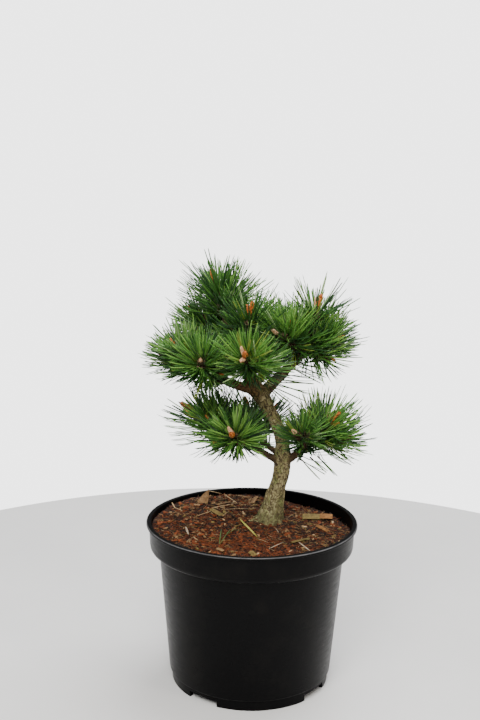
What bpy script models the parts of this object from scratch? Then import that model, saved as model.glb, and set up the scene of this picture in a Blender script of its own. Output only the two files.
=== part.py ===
"""A young mugo pine, grown as a small open tree, in a round plastic nursery pot.

The origin is the centre of the pot's flat underside. +Z is up and the front of
the plant looks along -Y. Every length is a real one, in metres: the tables give
millimetres and are scaled by MM. Heights on the plant are measured from the soil.

The pot and the soil in it are turned about the Z axis. The trunk and the boughs
are tapering tubes along smooth curves. Each mass of foliage grows by one rule:
a stem, shoots that leave its end, short side twigs, and sprays of needles set
round every shoot at the golden angle, all joined into one body. A spray is a
flat toothed blade, and each tooth is the end of a needle.
"""

import math
import random
from collections import namedtuple

import bmesh
import bpy
from mathutils import Vector

MM = 0.001
GAP = 0.32 * MM
NEARLY_UPRIGHT = 0.95

# Pot: outside sizes of a two litre container, and its wall
POT_SIDES = 36
POT_HEIGHT = 132.5 * MM
LIP_RADIUS = 85.0 * MM
LIP_DEPTH = 2.2 * MM
BAND_RADIUS = 82.8 * MM
BAND_FOOT_RADIUS = 82.0 * MM
BAND_ROUNDING = 4.0 * MM
BAND_CORNER = 0.3
SHOULDER_HEIGHT = 110.5 * MM
BODY_RADIUS = 74.7 * MM
RIDGE_HEIGHT = 9.0 * MM
RIDGE_RADIUS = 66.0 * MM
FOOT_RADIUS = 64.0 * MM
FOOT_WIDTH = 3.2 * MM
WALL = 1.6 * MM
FLOOR = 2.0 * MM
CHANNEL_HEIGHT = 4.0 * MM
PLATE_RADIUS = 44.0 * MM
PLATE_SLOPE = 2.0 * MM

# Drainage: notches in the foot ring, round holes in the floor of the channel
NOTCH_COUNT = 4
NOTCH_FIRST = math.radians(-126.0)
NOTCH_ANGLE = math.radians(24.0)
NOTCH_HEIGHT = 5.0 * MM
HOLE_COUNT = 8
HOLE_RADIUS = 3.5 * MM
HOLE_CIRCLE = 52.5 * MM
HOLE_SIDES = 8

# Soil: its level, how uneven it is, and the level place that the trunk stands on
SOIL_LEVEL = 122.0 * MM
SOIL_RINGS = 6
SOIL_ROUGHNESS = 1.3 * MM
SOIL_SEED = 3
SOIL_FLAT_RADIUS = 28.0 * MM

# Trunk: x, y, height above the soil and radius, in millimetres
TRUNK_PATH = (
    (13.5, 24.0, 0.0, 12.4),
    (16.8, 23.6, 11.0, 9.6),
    (19.6, 23.0, 24.7, 7.6),
    (22.7, 22.5, 37.2, 6.6),
    (24.7, 21.0, 55.4, 6.8),
    (23.9, 20.0, 70.5, 5.7),
    (20.0, 19.5, 83.0, 5.3),
    (14.0, 19.0, 95.0, 5.3),
    (5.0, 18.0, 110.7, 6.3),
    (-0.3, 17.5, 117.0, 6.8),
    (-3.2, 15.0, 127.5, 5.0),
    (-4.6, 12.5, 139.2, 4.2),
    (-9.5, 12.5, 151.5, 3.5),
    (-20.1, 14.0, 165.7, 2.6),
)
TRUNK_SIDES = 14
TRUNK_STEPS = 2
TRUNK_LEVEL_HEIGHT = 26.0 * MM
TRUNK_CLEARANCE = 1.15 * GAP
FLARE_LOBES = 5
FLARE_DEPTH = 0.16
FLARE_HEIGHT = 9.0 * MM

# Boughs: where they leave the trunk, their tip, how far they hang below the
# straight line between the two, and their radius at root and tip, in millimetres
Bough = namedtuple("Bough", "leaves_at tip sag root_radius tip_radius")
BOUGHS = {
    "bough_upper_left": Bough(113.5, (-34.8, 8.0, 128.6), 1.5, 4.4, 3.0),
    "bough_upper_right": Bough(110.0, (36.1, 12.0, 144.9), 2.0, 5.0, 3.5),
    "bough_back_left": Bough(127.0, (-20.0, 25.0, 143.2), 0.8, 3.0, 2.5),
    "bough_back_right": Bough(116.0, (14.0, 38.0, 136.0), 1.5, 3.6, 2.6),
    "bough_lower_left": Bough(53.0, (-6.2, 10.0, 73.5), 1.5, 3.3, 2.4),
    "bough_lower_right": Bough(52.0, (43.0, 12.0, 68.3), 1.0, 3.6, 2.7),
    "bough_lower_back": Bough(58.0, (7.2, 30.0, 68.6), 0.8, 2.9, 2.3),
}
BOUGH_SIDES = 8
BOUGH_STEPS = 6

# Foliage: each mass springs from the tip of a limb, or from the trunk's side at
# a height. Its stem goes on for a length in a direction, and shoots leave its
# end. Angles are in degrees, lengths in millimetres. Azimuth 0 is +X, 90 is +Y.
Shoot = namedtuple("Shoot", "azimuth elevation length sag buds")
Mass = namedtuple("Mass", "limb leaves_at azimuth elevation stem shoots")
MASSES = {
    "foliage_top": Mass("trunk", None, 145, 60, 5, (
        Shoot(152, 71, 34, 2, 2),
        Shoot(84, 46, 30, 2, 1),
    )),
    "foliage_centre": Mass("trunk", 141.0, -90, 52, 11, (
        Shoot(-80, 67, 33, 2, 2),
    )),
    "foliage_front": Mass("trunk", 129.0, -93, 20, 17, (
        Shoot(-94, 22, 49, 3, 3),
    )),
    "foliage_right": Mass("bough_upper_right", None, -8, 42, 5, (
        Shoot(-38, 71, 38, 1, 2),
        Shoot(-17, 21, 30, 2, 1),
        Shoot(-126, 24, 43, 2, 1),
        Shoot(48, 24, 34, 2, 1),
        Shoot(-28, -14, 24, 0, 1),
    )),
    "foliage_left": Mass("bough_upper_left", None, -160, 34, 6, (
        Shoot(-158, 43, 33, 2, 1),
        Shoot(-91, 20, 44, 2, 1),
        Shoot(168, 17, 37, 2, 1),
    )),
    "foliage_back_left": Mass("bough_back_left", None, 145, 40, 4, (
        Shoot(142, 35, 43, 2, 1),
        Shoot(96, 16, 36, 2, 1),
    )),
    "foliage_back_right": Mass("bough_back_right", None, 65, 38, 4, (
        Shoot(98, 40, 38, 2, 1),
        Shoot(38, 34, 36, 2, 1),
    )),
    "foliage_lower_left": Mass("bough_lower_left", None, -165, 12, 4, (
        Shoot(174, 28, 44, 4, 1),
        Shoot(-99, 18, 43, 2, 2),
        Shoot(134, 22, 30, 2, 1),
    )),
    "foliage_lower_right": Mass("bough_lower_right", None, -20, 34, 4, (
        Shoot(-32, 48, 30, 2, 3),
        Shoot(-114, 27, 38, 2, 1),
        Shoot(52, 26, 34, 2, 1),
        Shoot(-4, 12, 32, 1, 1),
    )),
    "foliage_lower_back": Mass("bough_lower_back", None, 135, 25, 4, (
        Shoot(122, 54, 28, 1, 1),
        Shoot(64, 26, 36, 2, 1),
    )),
}

# Twigs: stems and shoots, and the rule by which a long shoot bears a side twig
TWIG_SIDES = 5
TWIG_STEPS = 2
STEM_RADIUS_SHARE = 0.85
SHOOT_ROOT_RADIUS = 2.5 * MM
SHOOT_TIP_RADIUS = 2.0 * MM
SIDE_TWIG_FROM = 41.0 * MM
SIDE_TWIG_AT = 0.4
SIDE_TWIG_SHARE = 0.45
SIDE_TWIG_SPREAD = math.radians(48.0)
SIDE_TWIG_TRIES = 7
SIDE_TWIG_ROOM = 11.0 * MM
SIDE_TWIG_LOWEST = -0.2

# Sprays: toothed blades along a shoot, how far apart, and how far they lean out
GOLDEN_ANGLE = math.radians(137.508)
SPRAY_SPACING = 4.0 * MM
SPRAY_LENGTH = 36.0 * MM
SPRAY_LENGTH_AT_TIP = 27.0 * MM
SPRAY_FIRST = 0.14
SPRAY_LAST = 0.90
SPRAY_LEAN_LOW = math.radians(78.0)
SPRAY_LEAN_TIP = math.radians(42.0)
SPRAY_JITTER = 0.05
SPRAY_SHORTEN = 0.86
SPRAY_SHORTEST = 0.5
SPRAY_SAMPLES = 7

# One blade: its teeth, their fan, its root and its thickness
TEETH = 3
TOOTH_FAN = math.radians(12.0)
OUTER_TOOTH_SHARE = 0.92
VALLEY_AT = 0.42
BLADE_THICKNESS = 1.3 * MM

# Room that a spray leaves to the space of other masses, and to limbs
MASS_MARGIN = 1.5 * MM
LIMB_MARGIN = 2.0 * MM

# Buds at the tip of every shoot
BUD_LENGTH = 8.5 * MM
BUD_RADIUS = 2.2 * MM
BUD_SIDES = 4
BUD_LEAN = math.radians(28.0)
BUD_TURN = math.radians(120.0)
BUD_OUTLINE = ((-0.25, 0.6), (0.4, 1.0), (1.0, 0.2))

Leafage = namedtuple("Leafage", "stem shoots twigs")


def remove_everything():
    """Empty the scene of the objects that a new file comes with."""
    for obj in list(bpy.data.objects):
        bpy.data.objects.remove(obj, do_unlink=True)


def make_material(name, colour, roughness, metallic=0.0):
    """Return a plain Principled material."""
    material = bpy.data.materials.new(name)
    material.use_nodes = True
    shader = material.node_tree.nodes["Principled BSDF"]
    shader.inputs["Base Color"].default_value = (*colour, 1.0)
    shader.inputs["Roughness"].default_value = roughness
    shader.inputs["Metallic"].default_value = metallic
    return material


def make_materials():
    """Return the materials of the plant by name."""
    return {
        "pot_plastic": make_material("pot_plastic", (0.012, 0.012, 0.013), 0.32),
        "mulch": make_material("mulch", (0.20, 0.075, 0.035), 0.95),
        "bark": make_material("bark", (0.13, 0.10, 0.06), 0.9),
        "needles": make_material("needles", (0.055, 0.16, 0.03), 0.55),
    }


def add_object(name, mesh, material=None):
    """Put a mesh into the scene as a named object."""
    obj = bpy.data.objects.new(name, mesh)
    bpy.context.scene.collection.objects.link(obj)
    if material:
        mesh.materials.append(material)
    return obj


def mesh_from_bmesh(name, bm):
    """Turn a bmesh into a mesh whose faces point outward."""
    bmesh.ops.recalc_face_normals(bm, faces=bm.faces)
    mesh = bpy.data.meshes.new(name)
    bm.to_mesh(mesh)
    bm.free()
    return mesh


def bearing(azimuth, elevation):
    """Return the unit vector with this azimuth and elevation in degrees."""
    turn = math.radians(azimuth)
    rise = math.radians(elevation)
    return Vector((math.cos(turn) * math.cos(rise), math.sin(turn) * math.cos(rise), math.sin(rise)))


def smooth_shading(obj, sharp_angle=40.0):
    """Shade a round piece smooth, with its real edges kept sharp."""
    obj.data.shade_smooth()
    obj.data.set_sharp_from_angle(angle=math.radians(sharp_angle))


def apply_boolean(obj, operation, solver, other=None, collection=None):
    """Join or cut an object by another one, or by a collection, and keep the result."""
    modifier = obj.modifiers.new(operation.title(), "BOOLEAN")
    modifier.operation = operation
    modifier.solver = solver
    if collection:
        modifier.operand_type = "COLLECTION"
        modifier.collection = collection
    else:
        modifier.object = other
    evaluated = obj.evaluated_get(bpy.context.evaluated_depsgraph_get())
    mesh = bpy.data.meshes.new_from_object(evaluated)
    obj.modifiers.clear()
    obj.data = mesh
    return obj


def keep_largest_shell(obj):
    """Drop loose scraps and sealed hollows, which are the smaller closed shells."""
    bm = bmesh.new()
    bm.from_mesh(obj.data)
    unseen = set(bm.verts)
    shells = []
    while unseen:
        shell = []
        front = [unseen.pop()]
        while front:
            vert = front.pop()
            shell.append(vert)
            for edge in vert.link_edges:
                neighbour = edge.other_vert(vert)
                if neighbour in unseen:
                    unseen.remove(neighbour)
                    front.append(neighbour)
        shells.append(shell)
    shells.sort(key=len)
    for shell in shells[:-1]:
        bmesh.ops.delete(bm, geom=shell, context="VERTS")
    bm.to_mesh(obj.data)
    bm.free()


# Pot and soil

def pot_inside(offset, top):
    """Return the pot's inner outline from its axis to a height, moved in by an offset."""
    wall_radius = FOOT_RADIUS + (RIDGE_RADIUS - FOOT_RADIUS) / 2 - WALL - offset
    floor_height = CHANNEL_HEIGHT + FLOOR + offset
    ledge_height = SHOULDER_HEIGHT + WALL + offset
    band_foot_height = SHOULDER_HEIGHT + BAND_ROUNDING
    rise = (top - band_foot_height) / (POT_HEIGHT - band_foot_height)
    top_radius = BAND_FOOT_RADIUS + (BAND_RADIUS - BAND_FOOT_RADIUS) * rise
    return [
        (0.0, FLOOR + offset),
        (PLATE_RADIUS - PLATE_SLOPE - offset, FLOOR + offset),
        (PLATE_RADIUS - offset, floor_height),
        (wall_radius, floor_height),
        (BODY_RADIUS - WALL - offset, ledge_height),
        (BAND_FOOT_RADIUS - BAND_ROUNDING / 2 - WALL - offset, ledge_height),
        (BAND_FOOT_RADIUS - WALL - offset, band_foot_height),
        (top_radius - WALL - offset, top),
    ]


def pot_outside():
    """Return the pot's outer outline from its rim down to the axis."""
    foot_inner = FOOT_RADIUS - FOOT_WIDTH
    return [
        (LIP_RADIUS, POT_HEIGHT),
        (LIP_RADIUS, POT_HEIGHT - LIP_DEPTH),
        (BAND_RADIUS, POT_HEIGHT - LIP_DEPTH),
        (BAND_FOOT_RADIUS, SHOULDER_HEIGHT + BAND_ROUNDING),
        (BAND_FOOT_RADIUS - BAND_ROUNDING * BAND_CORNER, SHOULDER_HEIGHT + BAND_ROUNDING * BAND_CORNER),
        (BAND_FOOT_RADIUS - BAND_ROUNDING, SHOULDER_HEIGHT),
        (BODY_RADIUS, SHOULDER_HEIGHT - WALL / 2),
        (RIDGE_RADIUS, RIDGE_HEIGHT),
        (FOOT_RADIUS, RIDGE_HEIGHT - WALL / 2),
        (FOOT_RADIUS, 0.0),
        (foot_inner, 0.0),
        (foot_inner, CHANNEL_HEIGHT),
        (PLATE_RADIUS + PLATE_SLOPE, CHANNEL_HEIGHT),
        (PLATE_RADIUS, 0.0),
        (0.0, 0.0),
    ]


def turned_bmesh(outline):
    """Turn an outline of (radius, height) points, with its ends on the axis, about Z."""
    bm = bmesh.new()
    verts = [bm.verts.new((radius, 0.0, height)) for radius, height in outline]
    edges = [bm.edges.new(pair) for pair in zip(verts, verts[1:])]
    bmesh.ops.spin(
        bm, geom=verts + edges, cent=(0, 0, 0), axis=(0, 0, 1),
        angle=math.tau, steps=POT_SIDES, use_merge=True,
    )
    bmesh.ops.remove_doubles(bm, verts=bm.verts, dist=0.01 * MM)
    return bm


def make_pot(material):
    """Turn the pot, then cut the drain notches and holes."""
    outline = pot_inside(0.0, POT_HEIGHT) + pot_outside()
    pot = add_object("pot", mesh_from_bmesh("pot", turned_bmesh(outline)), material)
    for index in range(NOTCH_COUNT):
        cut_pot(pot, notch_cutter(NOTCH_FIRST + index * math.tau / NOTCH_COUNT))
    for index in range(HOLE_COUNT):
        cut_pot(pot, hole_cutter(NOTCH_FIRST + index * math.tau / HOLE_COUNT))
    smooth_shading(pot)
    return pot


def cut_pot(pot, cutter):
    """Cut one opening into the pot and remove its cutter."""
    apply_boolean(pot, "DIFFERENCE", "EXACT", other=cutter)
    bpy.data.objects.remove(cutter, do_unlink=True)


def notch_cutter(angle):
    """Return a wedge that goes through the foot ring round this angle."""
    inner = FOOT_RADIUS - FOOT_WIDTH - WALL
    outer = FOOT_RADIUS + WALL
    corners = []
    for radius, turn in ((inner, -0.5), (outer, -0.5), (outer, 0.5), (inner, 0.5)):
        place = angle + turn * NOTCH_ANGLE
        corners.append((radius * math.cos(place), radius * math.sin(place)))
    return prism("notch", corners, -WALL, NOTCH_HEIGHT)


def hole_cutter(angle):
    """Return a round prism that goes through the channel's floor."""
    centre_x = HOLE_CIRCLE * math.cos(angle)
    centre_y = HOLE_CIRCLE * math.sin(angle)
    corners = []
    for index in range(HOLE_SIDES):
        turn = index * math.tau / HOLE_SIDES
        corners.append((centre_x + HOLE_RADIUS * math.cos(turn), centre_y + HOLE_RADIUS * math.sin(turn)))
    return prism("hole", corners, WALL, CHANNEL_HEIGHT + FLOOR + WALL)


def prism(name, corners, low, high):
    """Return an upright prism on the given corners."""
    bm = bmesh.new()
    base = bm.faces.new([bm.verts.new((x, y, low)) for x, y in corners])
    raised = bmesh.ops.extrude_face_region(bm, geom=[base])
    top = [item for item in raised["geom"] if isinstance(item, bmesh.types.BMVert)]
    bmesh.ops.translate(bm, verts=top, vec=(0, 0, high - low))
    return add_object(name, mesh_from_bmesh(name, bm))


def make_soil(material):
    """Fill the pot with a turned plug whose top is uneven, but level under the trunk."""
    outline = pot_inside(GAP, SOIL_LEVEL)
    rim_radius = outline[-1][0]
    for ring in range(SOIL_RINGS - 1, -1, -1):
        outline.append((rim_radius * ring / SOIL_RINGS, SOIL_LEVEL))
    bm = turned_bmesh(outline)
    rng = random.Random(SOIL_SEED)
    foot = Vector(TRUNK_PATH[0][:2]) * MM
    on_top = [vert for vert in bm.verts if vert.co.z > SOIL_LEVEL - GAP]
    for vert in sorted(on_top, key=lambda vert: (round(vert.co.x, 6), round(vert.co.y, 6))):
        bump = rng.uniform(-1.0, 1.0) * SOIL_ROUGHNESS
        inside = vert.co.xy.length < rim_radius - MM
        if inside and (vert.co.xy - foot).length > SOIL_FLAT_RADIUS:
            vert.co.z += bump
    return add_object("soil", mesh_from_bmesh("soil", bm), material)


# Limbs

def smooth_path(points, steps):
    """Return a Catmull-Rom curve through points of x, y, z and radius."""
    path = [Vector(point) for point in points]
    padded = [2 * path[0] - path[1], *path, 2 * path[-1] - path[-2]]
    curve = []
    for index in range(len(path) - 1):
        before, start, end, after = padded[index:index + 4]
        for step in range(steps):
            t = step / steps
            curve.append(0.5 * (
                2 * start
                + (end - before) * t
                + (2 * before - 5 * start + 4 * end - after) * t ** 2
                + (3 * start - 3 * end + after - before) * t ** 3
            ))
    curve.append(path[-1])
    return curve


def ring_frames(spine, level_height=0.0):
    """Return two axes across each point of a spine, carried along without twist.

    Rings below the level height lean over slowly from a level first ring.
    """
    centres = [point.to_3d() for point in spine]
    side = None
    frames = []
    for index, centre in enumerate(centres):
        ahead = centres[min(index + 1, len(centres) - 1)]
        behind = centres[max(index - 1, 0)]
        direction = (ahead - behind).normalized()
        if level_height:
            share = min((centre.z - centres[0].z) / level_height, 1.0)
            direction = Vector((0, 0, 1)).lerp(direction, share).normalized()
        if side is None:
            upright = abs(direction.z) > NEARLY_UPRIGHT
            side = Vector((1, 0, 0)) if upright else Vector((0, 0, 1)).cross(direction)
        side = (side - direction * side.dot(direction)).normalized()
        frames.append((side, direction.cross(side)))
    return frames


def tube(name, spine, sides, level_height=0.0, shape=None, extra=0.0):
    """Return a closed tube of flat-ended rings along a spine of x, y, z and radius.

    shape gives a factor on the radius at a height and an angle, and extra is
    added to the radius all round.
    """
    bm = bmesh.new()
    rings = []
    for point, (side, up) in zip(spine, ring_frames(spine, level_height)):
        ring = []
        for index in range(sides):
            turn = index * math.tau / sides
            factor = shape(point.z, turn) if shape else 1.0
            radius = point.w * factor + extra
            offset = (side * math.cos(turn) + up * math.sin(turn)) * radius
            ring.append(bm.verts.new(point.to_3d() + offset))
        rings.append(ring)
    for low, high in zip(rings, rings[1:]):
        for index in range(sides):
            after = (index + 1) % sides
            bm.faces.new((low[index], low[after], high[after], high[index]))
    bm.faces.new(rings[0][::-1])
    bm.faces.new(rings[-1])
    return add_object(name, mesh_from_bmesh(name, bm))


def trunk_spine():
    """Return the trunk's centre line, from its flat cut on the soil to its tip."""
    foot = SOIL_LEVEL + GAP
    points = [(x * MM, y * MM, foot + z * MM, radius * MM) for x, y, z, radius in TRUNK_PATH]
    return smooth_path(points, TRUNK_STEPS)


def trunk_shape(height, turn):
    """Return the factor on the trunk's radius that makes the lobes of its root flare."""
    above = height - SOIL_LEVEL
    return 1.0 + FLARE_DEPTH * math.cos(FLARE_LOBES * turn) * math.exp(-above / FLARE_HEIGHT)


def make_trunk(spine, material):
    """Make the trunk, from the flat cut at the soil to the tip of the leader."""
    trunk = tube("trunk", spine, TRUNK_SIDES, TRUNK_LEVEL_HEIGHT, trunk_shape)
    trunk.data.materials.append(material)
    smooth_shading(trunk)
    return trunk


def trunk_cutter(spine):
    """Return the trunk thickened by the gap, which clears the roots of the boughs."""
    cutter = tube("trunk_clearance", spine, TRUNK_SIDES, TRUNK_LEVEL_HEIGHT, trunk_shape, TRUNK_CLEARANCE)
    cutter.hide_render = True
    cutter.display_type = "WIRE"
    return cutter


def point_at_height(spine, height):
    """Return the point of a rising spine at a height above the soil."""
    goal = SOIL_LEVEL + height * MM
    for low, high in zip(spine, spine[1:]):
        if low.z <= goal <= high.z:
            return low.lerp(high, (goal - low.z) / (high.z - low.z))
    return spine[-1]


def bough_spine(bough, trunk):
    """Return a bough's centre line, from inside the trunk to its tip."""
    start = point_at_height(trunk, bough.leaves_at)
    tip = Vector(bough.tip) * MM + Vector((0, 0, SOIL_LEVEL))
    return bowed_spine(
        start.to_3d(), tip, bough.sag * MM, bough.root_radius * MM, bough.tip_radius * MM, BOUGH_STEPS,
    )


def bowed_spine(start, tip, sag, root_radius, tip_radius, steps):
    """Return a tapering line from start to tip whose middle hangs down by the sag."""
    spine = []
    for step in range(steps + 1):
        along = step / steps
        place = start.lerp(tip, along)
        place.z -= 4 * sag * along * (1 - along)
        radius = root_radius + (tip_radius - root_radius) * along
        spine.append(Vector((*place, radius)))
    return spine


def make_bough(name, spine, cutter, material):
    """Make a bough and cut its root clear of the trunk."""
    bough = tube(name, spine, BOUGH_SIDES)
    apply_boolean(bough, "DIFFERENCE", "EXACT", other=cutter)
    keep_largest_shell(bough)
    bough.data.materials.append(material)
    smooth_shading(bough)
    return bough


# Foliage

def mass_stem(mass, limbs):
    """Return the centre line of a mass's stem, 0.3 mm clear of the limb's tip or inside the trunk."""
    spine = limbs[mass.limb]
    if mass.leaves_at is None:
        end = spine[-1]
        heading = (end - spine[-2]).to_3d().normalized()
        start = end.to_3d() + heading * GAP
        radius = end.w * STEM_RADIUS_SHARE
    else:
        start = point_at_height(spine, mass.leaves_at).to_3d()
        heading = bearing(mass.azimuth, mass.elevation)
        radius = SHOOT_ROOT_RADIUS
    middle = start + heading * mass.stem * MM / 2
    tip = middle + bearing(mass.azimuth, mass.elevation) * mass.stem * MM / 2
    return [Vector((*place, radius)) for place in (start, middle, tip)]


def mass_shoots(mass, stem):
    """Return the centre lines of the shoots that leave the end of a stem."""
    start = stem[-1].to_3d()
    shoots = []
    for shoot in mass.shoots:
        tip = start + bearing(shoot.azimuth, shoot.elevation) * shoot.length * MM
        shoots.append(bowed_spine(
            start, tip, shoot.sag * MM, SHOOT_ROOT_RADIUS, SHOOT_TIP_RADIUS, TWIG_STEPS,
        ))
    return shoots


def spine_length(spine):
    """Return the length of a spine."""
    return sum((high - low).to_3d().length for low, high in zip(spine, spine[1:]))


def along_spine(spine, share):
    """Return the place and the direction at a share of a spine's length."""
    place = share * (len(spine) - 1)
    index = min(int(place), len(spine) - 2)
    low = spine[index]
    high = spine[index + 1]
    return low.lerp(high, place - index), (high - low).to_3d().normalized()


def across(direction, turn):
    """Return the unit vector across a direction, turned about it from the upright."""
    up = Vector((0, 0, 1)) if abs(direction.z) < NEARLY_UPRIGHT else Vector((0, 1, 0))
    side = direction.cross(up).normalized()
    return side * math.cos(turn) + side.cross(direction) * math.sin(turn)


def distance_to_segment(place, start, end):
    """Return the distance from a place to a segment, and the share along it."""
    line = end - start
    share = max(0.0, min(1.0, (place - start).dot(line) / line.length_squared))
    return (place - start - line * share).length, share


def distance_to_spine(place, spine):
    """Return the distance from a place to the centre line of a spine."""
    pairs = zip(spine, spine[1:])
    return min(distance_to_segment(place, low.to_3d(), high.to_3d())[0] for low, high in pairs)


def clear_of_limb(place, spine, margin):
    """Tell whether a place is outside a limb's surface by more than a margin."""
    for low, high in zip(spine, spine[1:]):
        distance, share = distance_to_segment(place, low.to_3d(), high.to_3d())
        if distance < low.w + (high.w - low.w) * share + margin:
            return False
    return True


def grow_side_twigs(leafage, others, limbs, rng):
    """Return short twigs on the long shoots, each where it finds room."""
    twigs = []
    for shoot in leafage.shoots:
        length = spine_length(shoot)
        if length < SIDE_TWIG_FROM:
            continue
        start, heading = along_spine(shoot, SIDE_TWIG_AT)
        turn = rng.uniform(0.0, math.tau)
        for attempt in range(SIDE_TWIG_TRIES):
            outward = across(heading, turn + attempt * GOLDEN_ANGLE)
            course = heading * math.cos(SIDE_TWIG_SPREAD) + outward * math.sin(SIDE_TWIG_SPREAD)
            tip = start.to_3d() + course * length * SIDE_TWIG_SHARE
            siblings = [other for other in leafage.shoots + twigs if other is not shoot]
            room = min((distance_to_spine(tip, other) for other in siblings + others), default=1.0)
            clear = all(clear_of_limb(tip, limb, SIDE_TWIG_ROOM) for limb in limbs.values())
            if room > SIDE_TWIG_ROOM and clear and course.z > SIDE_TWIG_LOWEST:
                twigs.append(bowed_spine(
                    start.to_3d(), tip, 0.0, SHOOT_TIP_RADIUS, SHOOT_TIP_RADIUS, TWIG_STEPS,
                ))
                break
    return twigs


def in_own_space(root, tips, own, others, limbs):
    """Tell whether a spray stays nearer to its own twigs than to others, and off the limbs."""
    for tip in tips:
        for sample in range(1, SPRAY_SAMPLES + 1):
            place = root.lerp(tip, sample / SPRAY_SAMPLES)
            near = min(distance_to_spine(place, spine) for spine in own)
            if any(distance_to_spine(place, spine) < near + MASS_MARGIN for spine in others):
                return False
            if not all(clear_of_limb(place, spine, LIMB_MARGIN) for spine in limbs.values()):
                return False
    return True


def fan_point(root, course, breadth, angle, length):
    """Return the point of a blade at an angle from its middle line and a distance from its root."""
    return root + (course * math.cos(angle) + breadth * math.sin(angle)) * length


def spray_tips(root, course, breadth, length):
    """Return the tips of a blade's teeth, fanned out evenly, the outer ones a little shorter."""
    tips = []
    for index in range(TEETH):
        place = 2 * index / (TEETH - 1) - 1
        reach = length * (1 + (OUTER_TOOTH_SHARE - 1) * abs(place))
        tips.append(fan_point(root, course, breadth, place * TOOTH_FAN, reach))
    return tips


def spray(root, course, breadth, length):
    """Return a spray of needles: a thin blade whose outer edge is cut into pointed teeth."""
    lift = course.cross(breadth) * BLADE_THICKNESS / 2
    bm = bmesh.new()
    foot = bm.verts.new(root)
    tips = [bm.verts.new(tip) for tip in spray_tips(root, course, breadth, length)]
    edges = []
    for offset in (lift, -lift):
        edge = []
        for index in range(-1, TEETH):
            angle = ((2 * index + 1) / (TEETH - 1) - 1) * TOOTH_FAN
            valley = fan_point(root, course, breadth, angle, length * VALLEY_AT)
            edge.append(bm.verts.new(valley + offset))
        edges.append(edge)
        for tip, (left, right) in zip(tips, zip(edge, edge[1:])):
            bm.faces.new((left, tip, right))
            bm.faces.new((left, right, foot))
    upper, lower = edges
    for side in (0, -1):
        bm.faces.new((upper[side], lower[side], foot))
        bm.faces.new((upper[side], tips[side], lower[side]))
    for index in range(1, TEETH):
        bm.faces.new((upper[index], tips[index - 1], lower[index]))
        bm.faces.new((upper[index], lower[index], tips[index]))
    return add_object("spray", mesh_from_bmesh("spray", bm))


def grow_sprays(spine, own, others, limbs, rng):
    """Set sprays round a shoot at the golden angle, short or left out where room ends."""
    sprays = []
    stretch = SPRAY_LAST - SPRAY_FIRST
    count = round(spine_length(spine) * stretch / SPRAY_SPACING)
    for index in range(count):
        along = SPRAY_FIRST + stretch * (index + 0.5) / count
        place, heading = along_spine(spine, along)
        root = place.to_3d()
        turn = index * GOLDEN_ANGLE + rng.uniform(-SPRAY_JITTER, SPRAY_JITTER)
        lean = SPRAY_LEAN_LOW + (SPRAY_LEAN_TIP - SPRAY_LEAN_LOW) * along
        lean += rng.uniform(-SPRAY_JITTER, SPRAY_JITTER)
        outward = across(heading, turn)
        course = heading * math.cos(lean) + outward * math.sin(lean)
        breadth = heading.cross(outward)
        length = SPRAY_LENGTH + (SPRAY_LENGTH_AT_TIP - SPRAY_LENGTH) * along ** 2
        length *= 1 + rng.uniform(-SPRAY_JITTER, SPRAY_JITTER)
        shortest = length * SPRAY_SHORTEST
        tips = spray_tips(root, course, breadth, length)
        while length > shortest and not in_own_space(root, tips, own, others, limbs):
            length *= SPRAY_SHORTEN
            tips = spray_tips(root, course, breadth, length)
        if length > shortest:
            sprays.append(spray(root, course, breadth, length))
    return sprays


def bud(place, course):
    """Return a pointed bud whose foot is sunk in the tip of a shoot."""
    spine = []
    for along, share in BUD_OUTLINE:
        spine.append(Vector((*(place + course * BUD_LENGTH * along), BUD_RADIUS * share)))
    return tube("bud", spine, BUD_SIDES)


def grow_buds(spine, count):
    """Return the buds at a shoot's tip: one straight on, the others leaning out round it."""
    place, heading = along_spine(spine, 1.0)
    root = place.to_3d()
    buds = [bud(root, heading)]
    for index in range(1, count):
        outward = across(heading, index * BUD_TURN)
        buds.append(bud(root, (heading * math.cos(BUD_LEAN) + outward * math.sin(BUD_LEAN))))
    return buds


def fuse(name, pieces, material):
    """Join overlapping pieces into one closed body, with one union over a collection."""
    collection = bpy.data.collections.new(name + "_pieces")
    bpy.context.scene.collection.children.link(collection)
    body = pieces[0]
    for piece in pieces[1:]:
        bpy.context.scene.collection.objects.unlink(piece)
        collection.objects.link(piece)
    apply_boolean(body, "UNION", "MANIFOLD", collection=collection)
    for piece in pieces[1:]:
        bpy.data.objects.remove(piece, do_unlink=True)
    bpy.data.collections.remove(collection)
    keep_largest_shell(body)
    body.name = name
    body.data.name = name
    body.data.materials.clear()
    body.data.materials.append(material)
    return body


def make_mass(name, leafages, limbs, cutter, material):
    """Make one mass of foliage: stem, shoots, side twigs, buds and sprays in one body."""
    leafage = leafages[name]
    own = [leafage.stem] + leafage.shoots + leafage.twigs
    others = []
    for other, neighbour in leafages.items():
        if other != name:
            others += [neighbour.stem] + neighbour.shoots + neighbour.twigs
    rng = random.Random(name)
    stem = tube("stem", leafage.stem, TWIG_SIDES)
    if MASSES[name].leaves_at is not None:
        apply_boolean(stem, "DIFFERENCE", "EXACT", other=cutter)
        keep_largest_shell(stem)
    pieces = [stem]
    for spine, shoot in zip(leafage.shoots, MASSES[name].shoots):
        pieces.append(tube("shoot", spine, TWIG_SIDES))
        pieces += grow_buds(spine, shoot.buds)
        pieces += grow_sprays(spine, own, others, limbs, rng)
    for spine in leafage.twigs:
        pieces.append(tube("twig", spine, TWIG_SIDES))
        pieces += grow_buds(spine, 1)
        pieces += grow_sprays(spine, own, others, limbs, rng)
    return fuse(name, pieces, material)


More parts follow.
